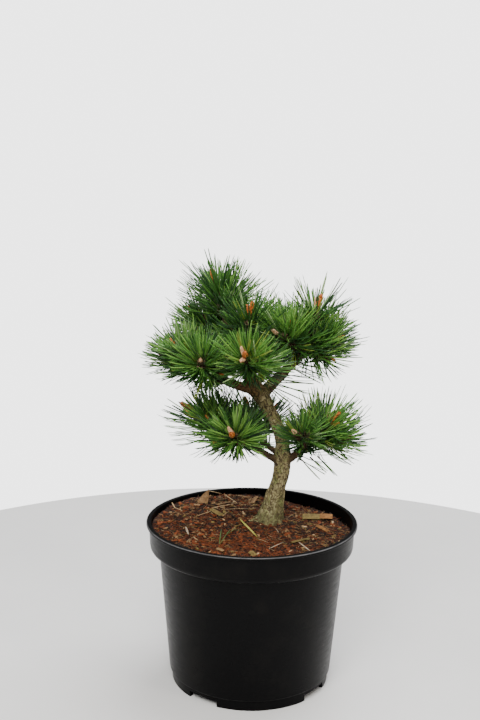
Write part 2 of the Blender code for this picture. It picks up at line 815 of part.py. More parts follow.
def plan_leafage(limbs):
    """Return the stem, shoots and side twigs of every mass, before any spray is set."""
    leafages = {}
    for name, mass in MASSES.items():
        stem = mass_stem(mass, limbs)
        leafages[name] = Leafage(stem, mass_shoots(mass, stem), [])
    for name, leafage in leafages.items():
        others = []
        for other, neighbour in leafages.items():
            if other != name:
                others += neighbour.shoots + neighbour.twigs
        leafage.twigs.extend(grow_side_twigs(leafage, others, limbs, random.Random(name)))
    return leafages


def main():
    """Build the whole plant."""
    remove_everything()
    materials = make_materials()
    make_pot(materials["pot_plastic"])
    make_soil(materials["mulch"])
    trunk = trunk_spine()
    make_trunk(trunk, materials["bark"])
    cutter = trunk_cutter(trunk)
    limbs = {"trunk": trunk}
    for name, bough in BOUGHS.items():
        limbs[name] = bough_spine(bough, trunk)
        make_bough(name, limbs[name], cutter, materials["bark"])
    leafages = plan_leafage(limbs)
    for name in MASSES:
        make_mass(name, leafages, limbs, cutter, materials["needles"])


main()
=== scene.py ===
"""The looks of a young mugo pine in a round plastic nursery pot.

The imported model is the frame: +Z is up, the front looks along -Y and the origin
is the middle of the pot's flat underside. Every length is a real one, in metres:
the tables give millimetres and are scaled by MM. Heights on the plant are
measured from the soil.

The limbs and the rule for the twigs are the same as in the solids. From them
grow one skin of bark over the trunk and the boughs, scaly shoots with finer side
twigs, buds, and needles in pairs, each with its own sheath. The soil is a bed
strewn with chips, fibres and crumbs of bark.
"""

import random
from collections import namedtuple
from math import cos, exp, inf, pi, radians, sin, sqrt, tan, tau

import bmesh
import bpy
import numpy as np
from mathutils import Matrix, Vector, kdtree, noise


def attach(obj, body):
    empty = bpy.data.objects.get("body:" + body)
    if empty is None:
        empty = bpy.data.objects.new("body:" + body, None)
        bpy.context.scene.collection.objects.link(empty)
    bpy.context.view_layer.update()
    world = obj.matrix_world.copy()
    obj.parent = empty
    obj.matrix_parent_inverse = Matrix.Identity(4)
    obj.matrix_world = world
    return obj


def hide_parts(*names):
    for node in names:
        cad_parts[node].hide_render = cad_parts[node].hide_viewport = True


MM = 0.001
GAP = 0.32 * MM
UP = Vector((0.0, 0.0, 1.0))
NEARLY_UPRIGHT = 0.95
GOLDEN_ANGLE = radians(137.508)

# Camera: fitted to the photograph, with its lens for a picture 720 pixels high
CAMERA_PLACE = (-11.2, -791, 410)
CAMERA_TILT = radians(10.5)
CAMERA_ROLL = radians(0.73)
CAMERA_LENS = 51.2

# Pot: outside sizes of a two litre container, and its wall
POT_SEGMENTS = 144
POT_HEIGHT = 132.5 * MM
LIP_RADIUS = 85 * MM
LIP_DEPTH = 2.2 * MM
BAND_RADIUS = 82.8 * MM
BAND_FOOT_RADIUS = 82 * MM
BAND_ROUNDING = 4 * MM
SHOULDER_HEIGHT = 110.5 * MM
BODY_RADIUS = 74.7 * MM
RIDGE_HEIGHT = 9 * MM
RIDGE_RADIUS = 66 * MM
FOOT_RADIUS = 64 * MM
FOOT_WIDTH = 3.2 * MM
WALL = 1.6 * MM
FLOOR = 2 * MM
CHANNEL_HEIGHT = 4 * MM
PLATE_RADIUS = 44 * MM
PLATE_SLOPE = 2 * MM
NOTCH_COUNT = 4
NOTCH_FIRST = radians(-126)
NOTCH_ANGLE = radians(24)
NOTCH_HEIGHT = 5 * MM
HOLE_COUNT = 8
HOLE_RADIUS = 3.5 * MM
HOLE_CIRCLE = 52.5 * MM
HOLE_SIDES = 20

# Soil bed
SOIL_LEVEL = 122 * MM
BED_RINGS = 60
BED_SEGMENTS = 168

# Trunk: x, y, height above the soil and radius, in millimetres
TRUNK_PATH = (
    (13.5, 24, 0, 12.4),
    (16.8, 23.6, 11, 9.6),
    (19.6, 23, 24.7, 7.6),
    (22.7, 22.5, 37.2, 6.6),
    (24.7, 21, 55.4, 6.8),
    (23.9, 20, 70.5, 5.7),
    (20, 19.5, 83, 5.3),
    (14, 19, 95, 5.3),
    (5, 18, 110.7, 6.3),
    (-0.3, 17.5, 117, 6.8),
    (-3.2, 15, 127.5, 5),
    (-4.6, 12.5, 139.2, 4.2),
    (-9.5, 12.5, 151.5, 3.5),
    (-20.1, 14, 165.7, 2.6),
)
TRUNK_FOOT = Vector(TRUNK_PATH[0][:2]) * MM
TRUNK_STEPS = 2
TRUNK_LEVEL_HEIGHT = 26 * MM
FLARE_LOBES = 5
FLARE_DEPTH = 0.16
FLARE_HEIGHT = 9 * MM

# Boughs: where they leave the trunk, their tip, how far they hang below the
# straight line between the two, and their radius at root and tip, in millimetres
Bough = namedtuple("Bough", "leaves_at tip sag root_radius tip_radius")
BOUGHS = {
    "bough_upper_left": Bough(113.5, (-34.8, 8, 128.6), 1.5, 4.4, 3),
    "bough_upper_right": Bough(110, (36.1, 12, 144.9), 2, 5, 3.5),
    "bough_back_left": Bough(127, (-20, 25, 143.2), 0.8, 3, 2.5),
    "bough_back_right": Bough(116, (14, 38, 136), 1.5, 3.6, 2.6),
    "bough_lower_left": Bough(53, (-6.2, 10, 73.5), 1.5, 3.3, 2.4),
    "bough_lower_right": Bough(52, (43, 12, 68.3), 1, 3.6, 2.7),
    "bough_lower_back": Bough(58, (7.2, 30, 68.6), 0.8, 2.9, 2.3),
}
BOUGH_STEPS = 6

# Foliage: each mass springs from the tip of a limb, or from the trunk's side at
# a height. Its stem goes on for a length in a direction, and shoots leave its
# end. Angles are in degrees, lengths in millimetres. Azimuth 0 is +X, 90 is +Y.
# A shoot also has the number of its buds, the size of its needles, the share of it
# that is bare, the size of its first bud, and whether that bud is pale. A mass may
# have needles on the last steps of its limb, and fewer needles than the others.
Shoot = namedtuple(
    "Shoot", "azimuth elevation length sag buds needles bare bud_size pale",
    defaults=(1, 0.15, 1, False),
)
Mass = namedtuple("Mass", "limb leaves_at azimuth elevation stem leafy_steps density shoots")
MASSES = {
    "foliage_top": Mass("trunk", None, 145, 60, 5, 5, 1, (
        Shoot(152, 71, 34, 2, 2, 1.08, 0.12),
        Shoot(84, 46, 30, 2, 1, 1.08),
    )),
    "foliage_centre": Mass("trunk", 141, -90, 52, 11, 0, 1, (
        Shoot(-80, 67, 33, 2, 2, 1.1),
    )),
    "foliage_front": Mass("trunk", 129, -93, 20, 17, 0, 1, (
        Shoot(-94, 22, 49, 3, 3, 0.92, 0.35),
    )),
    "foliage_right": Mass("bough_upper_right", None, -8, 42, 5, 1, 1, (
        Shoot(-38, 71, 38, 1, 2, 1, 0.68),
        Shoot(-17, 21, 30, 2, 1, 0.9, bud_size=0.5),
        Shoot(-126, 24, 43, 2, 1, bud_size=0.8, pale=True),
        Shoot(48, 24, 34, 2, 1),
        Shoot(-28, -14, 24, 0, 1, bud_size=0.45),
    )),
    "foliage_left": Mass("bough_upper_left", None, -160, 34, 6, 2, 1, (
        Shoot(-158, 43, 33, 2, 1, bud_size=0.6),
        Shoot(-91, 20, 44, 2, 1, 0.9, bud_size=0.62, pale=True),
        Shoot(168, 17, 37, 2, 1, 0.84, bud_size=0.5),
    )),
    "foliage_back_left": Mass("bough_back_left", None, 145, 40, 4, 3, 1, (
        Shoot(142, 35, 43, 2, 1),
        Shoot(96, 16, 36, 2, 1),
    )),
    "foliage_back_right": Mass("bough_back_right", None, 65, 38, 4, 3, 1, (
        Shoot(98, 40, 38, 2, 1),
        Shoot(38, 34, 36, 2, 1),
    )),
    "foliage_lower_left": Mass("bough_lower_left", None, -165, 12, 4, 1, 0.8, (
        Shoot(174, 28, 44, 4, 1, 1.18, 0.35, 1.35),
        Shoot(-99, 18, 43, 2, 2, 0.9),
        Shoot(134, 22, 30, 2, 1),
    )),
    "foliage_lower_right": Mass("bough_lower_right", None, -20, 34, 4, 2, 0.8, (
        Shoot(-32, 48, 30, 2, 3, 1.15, 0.42),
        Shoot(-114, 27, 38, 2, 1, 0.7, bud_size=0.8, pale=True),
        Shoot(52, 26, 34, 2, 1),
        Shoot(-4, 12, 32, 1, 1, 1.06, bud_size=0.5),
    )),
    "foliage_lower_back": Mass("bough_lower_back", None, 135, 25, 4, 2, 0.6, (
        Shoot(122, 54, 28, 1, 1),
        Shoot(64, 26, 36, 2, 1, 0.8),
    )),
}

# Twigs: stems and shoots, and the rule by which a long shoot bears a side twig
Leafage = namedtuple("Leafage", "stem shoots twigs fine_twigs")
TwigRule = namedtuple("TwigRule", "grows_from leaves_at share room radius")
TWIG_STEPS = 2
STEM_RADIUS_SHARE = 0.85
SHOOT_ROOT_RADIUS = 2.5 * MM
SHOOT_TIP_RADIUS = 2 * MM
TWIG_SPREAD = radians(48)
TWIG_TRIES = 7
LOWEST_COURSE = -0.2
SIDE_TWIGS = TwigRule(41 * MM, 0.4, 0.45, 11 * MM, SHOOT_TIP_RADIUS)
FINE_TWIGS = TwigRule(29 * MM, 0.62, 0.28, 8 * MM, 1.3 * MM)
FINEST_TWIGS = TwigRule(29 * MM, 0.22, 0.34, 7 * MM, 1.3 * MM)

# Bark: the grain of its remeshed skin, its plates and its relief
BARK_GRAIN = 0.58 * MM
TWIG_GRAIN = 0.76 * MM
BARK_SMOOTHING = 5
LIMB_SIDES = 24
TWIG_SIDES = 12
REFINE_STEPS = 4
SAMPLE_STEP = 0.8 * MM
SPINE_STAGGER = 1.7
PLATE_WIDTH = 2.4 * MM
PLATE_LENGTH = 3.8 * MM
PLATE_DEPTH = 0.4 * MM
PLATE_LEVEL = 0.7
CRACK_WIDTH = 0.3
WARP_SCALE = 0.9
WARP_DEPTH = 0.9
TONE_SCALE = 7.3
FLAKE_SCALE = 1.7
FLAKE_DEPTH = 0.22 * MM
FLAKE_FRACTAL = (1, 2, 3)
LUMP_SIZE = 9 * MM
LUMP_DEPTH = 0.9 * MM
FULL_BARK_RADIUS = 5 * MM
OLD_WOOD_RADIUS = 6 * MM
BARK_OLD = ((0.38, 0.305, 0.122), (0.7, 0.6, 0.32), (0.37, 0.4, 0.135))
BARK_YOUNG = ((0.07, 0.04, 0.018), (0.18, 0.1, 0.045))
BARK_CRACK = (0.075, 0.052, 0.022)
MOSS = (0.06, 0.085, 0.022)
MOSS_HEIGHT = 48 * MM
FORK_BLEND = 0.9 * MM
KNOB_PLACE = (-4, 10, 239)
KNOB_RADIUS = 16 * MM
KNOB_COLOUR = (0.24, 0.085, 0.032)
TWIG_OLD = ((0.05, 0.03, 0.016), (0.12, 0.07, 0.035), (0.08, 0.05, 0.028))
TWIG_YOUNG = ((0.04, 0.023, 0.012), (0.11, 0.062, 0.03))

# Root toes: azimuth in degrees, length and radius in millimetres. They start at a
# distance from the trunk's middle and at a height, and their stations give shares of
# the length, of that height and of the radius.
ROOT_TOES = ((200, 9, 4.2), (265, 7, 3.6), (325, 6, 3.4), (20, 7, 3.8), (110, 8, 4))
ROOT_START = 8
ROOT_RISE = 3.5
ROOT_STATIONS = ((0, 1, 1), (0.55, 0.4, 0.8), (1, -0.4, 0.45))

# Needles: pairs along a shoot, their lean from it, their size and their curve
Pair = namedtuple("Pair", "root course breadth heading length tone")
Growth = namedtuple("Growth", "bare size density")
PAIR_SPACING = 0.24 * MM
PAIR_LAST = 0.82
BARE_SHARE = 0.15
PAIR_LEAN_LOW = radians(72)
PAIR_LEAN_TIP = radians(46)
PAIR_LEAN_JITTER = radians(11)
PAIR_UPTURN = 0.16
PAIR_SHORTER_BELOW = 0.26
PAIR_TURN_JITTER = radians(8)
PAIR_SPREAD = radians(6)
PAIR_SPREAD_JITTER = radians(3)
PAIR_CLOSING = 0.35
ROOT_DEPTH = 0.8
NEEDLE_LENGTH = 29.5 * MM
NEEDLE_LENGTH_AT_TIP = 23.2 * MM
NEEDLE_LENGTH_JITTER = 0.12
NEEDLE_WIDTH = 1.12 * MM
NEEDLE_THICKNESS = (0.6, 0.4)
NEEDLE_LENGTHS = (0.95, 1.03)
NEEDLE_WIDTHS = (0.85, 1.1)
NEEDLE_CURVE = 0.12
NEEDLE_UPTURN = 0.09
NEEDLE_CURVE_JITTER = 0.07
NEEDLE_WAVE = 0.05
NEEDLE_OUTLINE = ((0, 0.7), (0.3, 1), (0.75, 0.95), (0.95, 0.65), (1, 0.15))
NEEDLE_SHORTEN = 0.86
NEEDLE_SHORTEST = 0.45
NEEDLE_SAMPLES = np.array((0.35, 0.55, 0.75, 1))
SIDE_NEEDLE_SIZE = 0.85
FINE_NEEDLE_SIZE = 0.75
SPRAY_PAIRS = 6
LIMB_MARGIN = 0.8 * MM
TWIG_MARGIN = 1 * MM

# Lone pairs on bare wood: root and tip in millimetres, and the way they curve
LONE_CURVE = Vector((0, 0.3, -0.7))
# The lone pairs take only light tones: painted light on needles that hang in shade below the boughs
LONE_PAINTED_LIGHT_TONES = ("bright", "mid", "pale")
LONE_PAIRS = {
    "foliage_right": (
        ((29, 12, 256), (55.1, 10, 244.9)),
        ((28, 12, 255), (51.3, 10, 248.7)),
        ((20, 12, 246), (47.7, 10, 242.2)),
        ((18, 12, 243), (46.6, 10, 238.4)),
        ((17, 12, 242), (44.8, 8, 234.5)),
        ((15, 12, 240), (39.4, 10, 225.5)),
        ((13.5, 12, 239), (28, 8, 227.9)),
        ((13.5, 12, 238), (25, 10, 224.7)),
        ((31, 12, 259), (58.1, 10, 251.9)),
        ((24, 12, 250), (49, 18, 245)),
    ),
    "foliage_lower_right": (
        ((38, 11, 180.5), (58.5, 10, 167.8)),
        ((40, 11, 179.5), (56.7, 8, 165.2)),
        ((53, 11, 182.5), (68, 10, 167.3)),
        ((47, 11, 181.5), (60, 9, 170.5)),
    ),
}

# Sheaths at the feet of the pairs
SHEATH_LENGTH = 3.2 * MM
SHEATH_SUNK = 0.8 * MM
SHEATH_WIDTH = 1.5 * MM
SHEATH_BEND = 0.01
SHEATH_THICKNESS = (1, 1)
SHEATH_OUTLINE = ((0, 1), (0.6, 0.95), (1, 0.7))

# Buds: a core covered by scales
BUD_SEED = 6
BUD_LENGTH = 9.5 * MM
BUD_RADIUS = 2.2 * MM
BUD_SIDES = 10
BUD_STEPS = 3
BUD_KINDS = ("bud", "bud_pale")
PALE_BUD_SHARE = 0.7
SECOND_BUD_SIZE = 0.8
SIDE_BUD_SIZE = 0.42
BUD_APART = 2.2 * MM
BUD_LEAN = radians(34)
BUD_TURNS = (radians(60), radians(-60))
BUD_OUTLINE = ((-0.25, 0.6), (0.05, 0.85), (0.4, 0.95), (0.75, 0.62), (1, 0.12))
BUD_SCALES = 26
BUD_SCALE_FIRST = -0.12
BUD_SCALE_LAST = 0.82
BUD_SCALE_LENGTH = 3 * MM
BUD_SCALE_WIDTH = 0.6
BUD_SCALE_THICKNESS = (0.3, 0.1)
BUD_SCALE_BEND = 0.16
BUD_SCALE_SEAT = 0.86
BUD_TAPER = 0.55
BUD_SCALE_LEAN = radians(14)
BUD_SCALE_CLOSING = radians(22)
BUD_SCALE_OUTLINE = ((0, 0.9), (0.4, 1), (0.75, 0.7), (1, 0.1))

# Tones of the needles: base colour, and how often a spray takes it in painted light and in painted shade
Tone = namedtuple("Tone", "colour share_light share_dark")
TONES = {
    # The bright tone is paled a little towards white as a painted sheen
    "bright": Tone((0.2, 0.4, 0.07), 0.27, 0),
    "mid": Tone((0.11, 0.28, 0.042), 0.35, 0.14),
    "deep": Tone((0.048, 0.145, 0.023), 0.2, 0.42),
    "cool": Tone((0.022, 0.07, 0.02), 0.04, 0.38),
    "pale": Tone((0.3, 0.44, 0.19), 0.09, 0.03),
    "yellow": Tone((0.23, 0.31, 0.045), 0.05, 0.03),
}
# Painted light on a spray: some everywhere, more out along its shoot, where it partly stands for the paler
# young needles and partly is painted light, and more where the spray faces up, which is painted light
LIGHT_LEAST = 0.05
LIGHT_OUTER = 0.75
LIGHT_ABOVE = 0.3

# Edges: the roundings of the pot's, and the angles from which edges are sharp
EDGE_ROUNDING = 0.45 * MM
LIP_ROUNDING = 0.8 * MM
COVE_ROUNDING = 0.5 * MM
ROUNDING_STEPS = 4
POT_SHARP_FROM = radians(35)
LITTER_SHARP_FROM = radians(40)
MERGED_WITHIN = 0.01 * MM

# Soil: how uneven its top is, and the chips and fibres strewn over it
BED_EDGE = 1 * MM
BED_WAVE = 14 * MM
BED_ROUGHNESS = 1.7 * MM
BED_FRACTAL = (0.8, 2, 5)
BED_RISE = 7.5 * MM
BED_RISE_TOWARDS = radians(140)
BED_RISE_POWER = 1.2
BED_MOUND = 1.6 * MM
BED_MOUND_RADIUS = 22 * MM
FOOT_CLEARANCE = 11 * MM
CHIP_SEED = 11
CHIP_COUNT = 5000
CHIP_REACH = 3.6 * MM
CHIP_LENGTHS = (0.9 * MM, 7 * MM)
CHIP_WIDTHS = (0.25, 0.7)
CHIP_DEPTHS = (0.08, 0.22)
CHIP_TILT = 0.4
CHIP_LIFTS = (-0.2, 0.7)
CHIP_POWER = 3
CHIP_CORNERS = 6
CHIP_JITTER = 0.3
CHIP_NARROWEST = 0.65
CHIP_BOW = 0.3
FIBRE_SEED = 23
FIBRE_COUNT = 6600
FIBRE_REACH = 2 * MM
FIBRE_LENGTHS = (1.5 * MM, 16 * MM)
FIBRE_THINNEST = 0.25 * MM
FIBRE_WIDEST = 0.75 * MM
FIBRE_TILT = 0.2
FIBRE_LIFTS = (0.2, 1.4)
FIBRE_POWER = 2.5
FIBRE_CURVE = 0.3
FIBRE_SAG = 0.06
FIBRE_THICKNESS = (0.5, 0.5)
FIBRE_OUTLINE = ((0, 0.5), (0.3, 1), (0.7, 0.9), (1, 0.4))
MULCH_TONES = ("chip_red", "chip_dark", "chip_rust", "chip_tan", "chip_olive", "straw")
MULCH_SHARES = (0.3, 0.34, 0.16, 0.12, 0.05, 0.03)

# Mulch that differs: centre and radius in millimetres, and the share of each tone there
Zone = namedtuple("Zone", "place radius shares")
ZONES = (
    Zone((-2, -34), 38, (0.36, 0.12, 0.44, 0.05, 0.02, 0.01)),
    Zone((58, -8), 36, (0.14, 0.56, 0.06, 0.18, 0.05, 0.01)),
    Zone((-24, 58), 32, (0.2, 0.34, 0.12, 0.2, 0.06, 0.08)),
    Zone((-62, 4), 24, (0.26, 0.4, 0.22, 0.09, 0.02, 0.01)),
)
ZONE_BACKGROUND = 0.3
LITTER_TONES = ("chip_olive", "chip_tan", "straw", "sliver", "fallen_green", "fallen_yellow", "chip_orange")

# Litter that catches the eye: lines with a width, in millimetres and as on a level bed,
# and the number of its tone
Litter = namedtuple("Litter", "tone outline thickness bend lines")
FLAT = (0.01, 0, -0.03)
UPRIGHT = (0, -0.04, 0)
BLUNT = ((0, 0.85), (0.04, 1), (0.5, 0.94), (0.97, 0.9), (1, 0.7))
WEDGE = ((0, 0.9), (0.1, 1), (0.6, 0.6), (1, 0.08))
STRAW = ((0, 0.6), (0.3, 1), (0.8, 0.8), (1, 0.3))
LITTER = (
    Litter(0, BLUNT, (0.36, 0.3), FLAT, (
        ((43.1, 30.8, 125), (61, 28.6, 126), 12.5),
        ((31, -29, 124.2), (45, -20, 124.8), 5),
        ((-34, 36, 124.4), (-24, 24, 124.6), 4.5),
        ((-1.6, -50.7, 124.6), (2.1, -58.1, 124.5), 4),
    )),
    Litter(6, BLUNT, (0.36, 0.3), FLAT, (
        ((57.5, 28.9, 126.2), (67.8, 27.7, 126.4), 11.8),
        ((53.5, 8.4, 125), (61.8, -2.4, 124.5), 3.4),
    )),
    Litter(1, WEDGE, (0.2, 0.2), UPRIGHT, (((-42.4, 49, 122.5), (-36.5, 56, 134), 9),)),
    Litter(1, BLUNT, (0.25, 0.25), FLAT, (
        ((0.5, 58.7, 123.5), (4.5, 66.8, 127), 5),
        ((-30.2, 45.9, 124.6), (-18.3, 55.3, 125), 3.4),
        ((-48.8, 42.5, 124.8), (-43.6, 41.4, 125), 2.6),
        ((-27.2, -43.6, 124.3), (-22, -49.1, 124.5), 3),
        ((-54.4, 10.6, 124.5), (-52.6, 9.6, 124.5), 1.8),
        ((-47.6, 9, 124.5), (-45.6, 9, 124.5), 1.6),
        ((-62, -22, 123.6), (-58.5, -26, 124), 2.6),
    )),
    Litter(2, STRAW, (0.6, 0.6), FLAT, (
        ((-36.4, 62, 130), (-25.6, 64.2, 128), 0.9),
        ((-23.7, 65.8, 127), (-11.8, 53.1, 125), 0.9),
        ((-33.3, 36, 125.5), (-12.5, 49.8, 126.5), 1),
        ((-23.1, 35, 125.5), (-2.8, 43.9, 125), 0.8),
        ((-13.2, 68.1, 126), (0.5, 67.1, 126), 0.7),
        ((-67, 36, 127), (-63.7, 29.1, 125), 0.9),
        ((-43.9, 18.8, 125), (-34.3, 29.2, 125.5), 0.8),
    )),
    Litter(3, STRAW, (0.5, 0.5), FLAT, (
        ((12.8, -45.4, 124.8), (24.3, -30.8, 125.5), 1.2),
        ((36.6, -30.7, 125), (44.1, -46.1, 124.5), 1.2),
        ((-53.1, -6.6, 124.8), (-50.4, -18.8, 124.4), 1.6),
        ((19.5, 0.3, 125), (21.6, -8, 124.5), 0.7),
    )),
    Litter(4, STRAW, (0.5, 0.5), FLAT, (
        ((-24.4, -9.2, 126), (-25.9, -35.2, 124.2), 0.9),
        ((-17.5, -9.2, 126.5), (-25.5, -34, 124.2), 0.9),
        ((-12.7, -4.1, 126), (-22.1, -17.6, 124.4), 0.8),
    )),
    Litter(5, STRAW, (0.5, 0.5), FLAT, (((-9.4, 16.1, 125.5), (3.8, -15.5, 124.6), 1.5),)),
)

# Colours: the pot's, and pairs of colours with grain size, roughness and relief
POT_BLACK = (0.0018, 0.0018, 0.002)
POT_DUST = (0.005, 0.0045, 0.004)
# A grey painted highlight along the lip's outer edge, and how far in from the edge it reaches
POT_LIP_HIGHLIGHT = (0.12, 0.12, 0.125)
LIP_HIGHLIGHT_DEPTH = 0.9 * MM
GRAINY = (
    ("bed", ((0.012, 0.004, 0.002), (0.06, 0.016, 0.005)), 4 * MM, 0.95, 0.9 * MM),
    ("chip_red", ((0.058, 0.014, 0.003), (0.15, 0.036, 0.008)), 2.2 * MM, 0.9, 0.2 * MM),
    ("chip_dark", ((0.008, 0.004, 0.002), (0.036, 0.014, 0.006)), 2.2 * MM, 0.9, 0.2 * MM),
    ("chip_rust", ((0.12, 0.025, 0.004), (0.26, 0.062, 0.012)), 2.2 * MM, 0.9, 0.2 * MM),
    ("chip_tan", ((0.15, 0.078, 0.028), (0.34, 0.2, 0.09)), 2.5 * MM, 0.88, 0.2 * MM),
    ("chip_olive", ((0.095, 0.066, 0.016), (0.23, 0.16, 0.045)), 3 * MM, 0.88, 0.3 * MM),
    ("chip_orange", ((0.13, 0.055, 0.012), (0.32, 0.14, 0.038)), 3 * MM, 0.88, 0.3 * MM),
    ("straw", ((0.33, 0.2, 0.09), (0.6, 0.43, 0.24)), 3 * MM, 0.8, 0.1 * MM),
    ("sliver", ((0.3, 0.22, 0.14), (0.56, 0.46, 0.34)), 3 * MM, 0.8, 0.1 * MM),
    ("fallen_green", ((0.05, 0.12, 0.035), (0.11, 0.2, 0.06)), 4 * MM, 0.5, 0.05 * MM),
    ("fallen_yellow", ((0.35, 0.38, 0.06), (0.62, 0.52, 0.13)), 9 * MM, 0.5, 0.05 * MM),
    ("sheath", ((0.075, 0.045, 0.025), (0.2, 0.13, 0.075)), 1.2 * MM, 0.8, 0.1 * MM),
    ("bud", ((0.36, 0.06, 0.006), (0.76, 0.26, 0.06)), 1.6 * MM, 0.45, 0.15 * MM),
    ("bud_pale", ((0.64, 0.23, 0.08), (1, 0.76, 0.52)), 1.3 * MM, 0.45, 0.15 * MM),
)

# Roughness, gloss and relief of the materials. A grain has a size, a detail and a
# roughness. A range of values is spread from 0 to 1, or from its third number to its
# fourth. A look is a grain and the range of its noise.
POT_ROUGHNESS = 0.3
POT_SPECULAR = 0.06
DUST = ((30 * MM, 6, 0.65), (0.52, 0.78))
SCUFFS = ((12 * MM, 8, 0.7), (0.3, 0.75, 0.24, 0.46))
SCUFF_STRETCH = (1, 1, 9)
# Patches of the painted highlight on the lip
LIP_HIGHLIGHT_PATCHES = ((12 * MM, 6, 0.7), (0.3, 0.6, 0.4, 1))
MOULD_GRAIN = (1.6 * MM, 3, 0.55)
MOULD_DEPTH = 0.04 * MM
BARK_ROUGHNESS = 0.86
BARK_FINE_GRAIN = (2.2 * MM, 6, 0.7)
BARK_FINE_DEPTH = 0.6 * MM
BARK_FLAKES = (0.3, 0.6, 0.45, 1)
BARK_GLOSS = (0.3, 0.7, 0.95, 0.75)
PLATE_TONES = (0.25, 0.75)
PLATE_SHARES = (0.1, 0.8)
OLD_AGES = (0.55, 0.95)
LICHEN = ((7 * MM, 5, 0.6), (0.5, 0.62))
MOSS_PATCHES = ((9 * MM, 5, 0.6), (0.35, 0.55))
MOSS_COVER = 0.85
KNOB_COVER = 0.75
CLUMP_DETAIL = (5, 0.65)
CLUMPS = (0.35, 0.65)
NEEDLE_ROUGHNESS = 0.45
NEEDLE_SPECULAR = 0.6
NEEDLE_GRAIN = (0.9 * MM, 3, 0.55)
NEEDLE_GLOSS = (0.3, 0.7, 0.28, 0.48)
NEEDLE_LINE_DEPTH = 0.08 * MM

# Studio: the floor's colours, grain, roughness and relief, and the lights with place,
# size, power and colour
FLOOR_RADIUS = 0.5
FLOOR_SEGMENTS = 128
FLOOR_PAINT = (((0.76, 0.755, 0.75), (0.82, 0.815, 0.81)), 0.4, 0.8, 0.1 * MM)
LIGHT_TARGET = (0, 0, 0.2)
HORIZON = 0.48
BACKDROP_STRENGTH = 3.5
SKY_STRENGTH = (0.24, 0.95)
LIGHTS = (
    ("key", (-0.25, -1.05, 1.15), (0.8, 0.8), 27, (1, 0.98, 0.94)),
    ("top", (0.3, 0.4, 1.6), (0.9, 0.9), 26, (0.98, 0.99, 1)),
    ("side", (0.9, -0.7, 0.7), (0.15, 0.7), 3, (1, 0.9, 0.76)),
)


def mesh_from_arrays(name, verts, face_arrays, material_index=None, smooth=True):
    """Return a mesh from an array of vertices and arrays of faces, each with one corner count."""
    totals = np.concatenate([np.full(len(faces), faces.shape[1]) for faces in face_arrays])
    corners = np.concatenate([faces.ravel() for faces in face_arrays])
    starts = np.concatenate(([0], np.cumsum(totals)[:-1]))
    mesh = bpy.data.meshes.new(name)
    mesh.vertices.add(len(verts))
    mesh.vertices.foreach_set("co", np.ascontiguousarray(verts, dtype=np.float32).ravel())
    mesh.loops.add(len(corners))
    mesh.loops.foreach_set("vertex_index", corners.astype(np.int32))
    mesh.polygons.add(len(totals))
    mesh.polygons.foreach_set("loop_start", starts.astype(np.int32))
    if material_index is not None:
        mesh.polygons.foreach_set("material_index", material_index.astype(np.int32))
    mesh.update(calc_edges=True)
    if smooth:
        mesh.shade_smooth()
    return mesh


def new_object(name, data):
    """Put data into the scene as a new object."""
    added = bpy.data.objects.new(name, data)
    bpy.context.scene.collection.objects.link(added)
    return added


def add_piece(name, mesh, materials, nodes):
    """Put a mesh into the scene as a piece that rides on the plant and stands for some nodes."""
    for material in materials:
        mesh.materials.append(material)
    piece = new_object(name, mesh)
    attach(piece, "root")
    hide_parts(*nodes)


def evaluated_mesh(mesh, add_modifiers):
    """Return a mesh as it is after the modifiers that a function puts on it."""
    carrier = new_object("carrier", mesh)
    add_modifiers(carrier)
    evaluated = carrier.evaluated_get(bpy.context.evaluated_depsgraph_get())
    result = bpy.data.meshes.new_from_object(evaluated)
    bpy.data.objects.remove(carrier, do_unlink=True)
    return result


def bearing(azimuth, elevation):
    """Return the unit vector with this azimuth and elevation in degrees."""
    turn = radians(azimuth)
    rise = radians(elevation)
    return Vector((cos(turn) * cos(rise), sin(turn) * cos(rise), sin(rise)))


# Limbs, by the rule of the solids

def smooth_path(points, steps):
    """Return a Catmull-Rom curve through points of x, y, z and radius."""
    path = [Vector(point) for point in points]
    padded = [2 * path[0] - path[1], *path, 2 * path[-1] - path[-2]]
    curve = []
    for index in range(len(path) - 1):
        before, start, end, after = padded[index:index + 4]
        for step in range(steps):
            t = step / steps
            curve.append(0.5 * (
                2 * start
                + (end - before) * t
                + (2 * before - 5 * start + 4 * end - after) * t ** 2
                + (3 * start - 3 * end + after - before) * t ** 3
            ))
    curve.append(path[-1])
    return curve


def ring_frames(spine, level_height=0.0):
    """Return two axes across each point of a spine, carried along without twist."""
    centres = [point.to_3d() for point in spine]
    side = None
    frames = []
    for index, centre in enumerate(centres):
        ahead = centres[min(index + 1, len(centres) - 1)]
        behind = centres[max(index - 1, 0)]
        direction = (ahead - behind).normalized()
        if level_height:
            share = min((centre.z - centres[0].z) / level_height, 1.0)
            direction = UP.lerp(direction, share).normalized()
        if side is None:
            side = Vector((1, 0, 0)) if abs(direction.z) > NEARLY_UPRIGHT else UP.cross(direction)
        side = (side - direction * side.dot(direction)).normalized()
        frames.append((side, direction.cross(side)))
    return frames


def trunk_spine():
    """Return the trunk's centre line, from its flat cut on the soil to its tip."""
    foot = SOIL_LEVEL + GAP
    points = [(x * MM, y * MM, foot + z * MM, radius * MM) for x, y, z, radius in TRUNK_PATH]
    return smooth_path(points, TRUNK_STEPS)


def trunk_shape(height, turn):
    """Return the factor on the trunk's radius that makes the lobes of its root flare."""
    above = height - SOIL_LEVEL
    return 1.0 + FLARE_DEPTH * cos(FLARE_LOBES * turn) * exp(-above / FLARE_HEIGHT)


def point_at_height(spine, height):
    """Return the point of a rising spine at a height above the soil."""
    goal = SOIL_LEVEL + height * MM
    for low, high in zip(spine, spine[1:]):
        if low.z <= goal <= high.z:
            return low.lerp(high, (goal - low.z) / (high.z - low.z))
    return spine[-1]


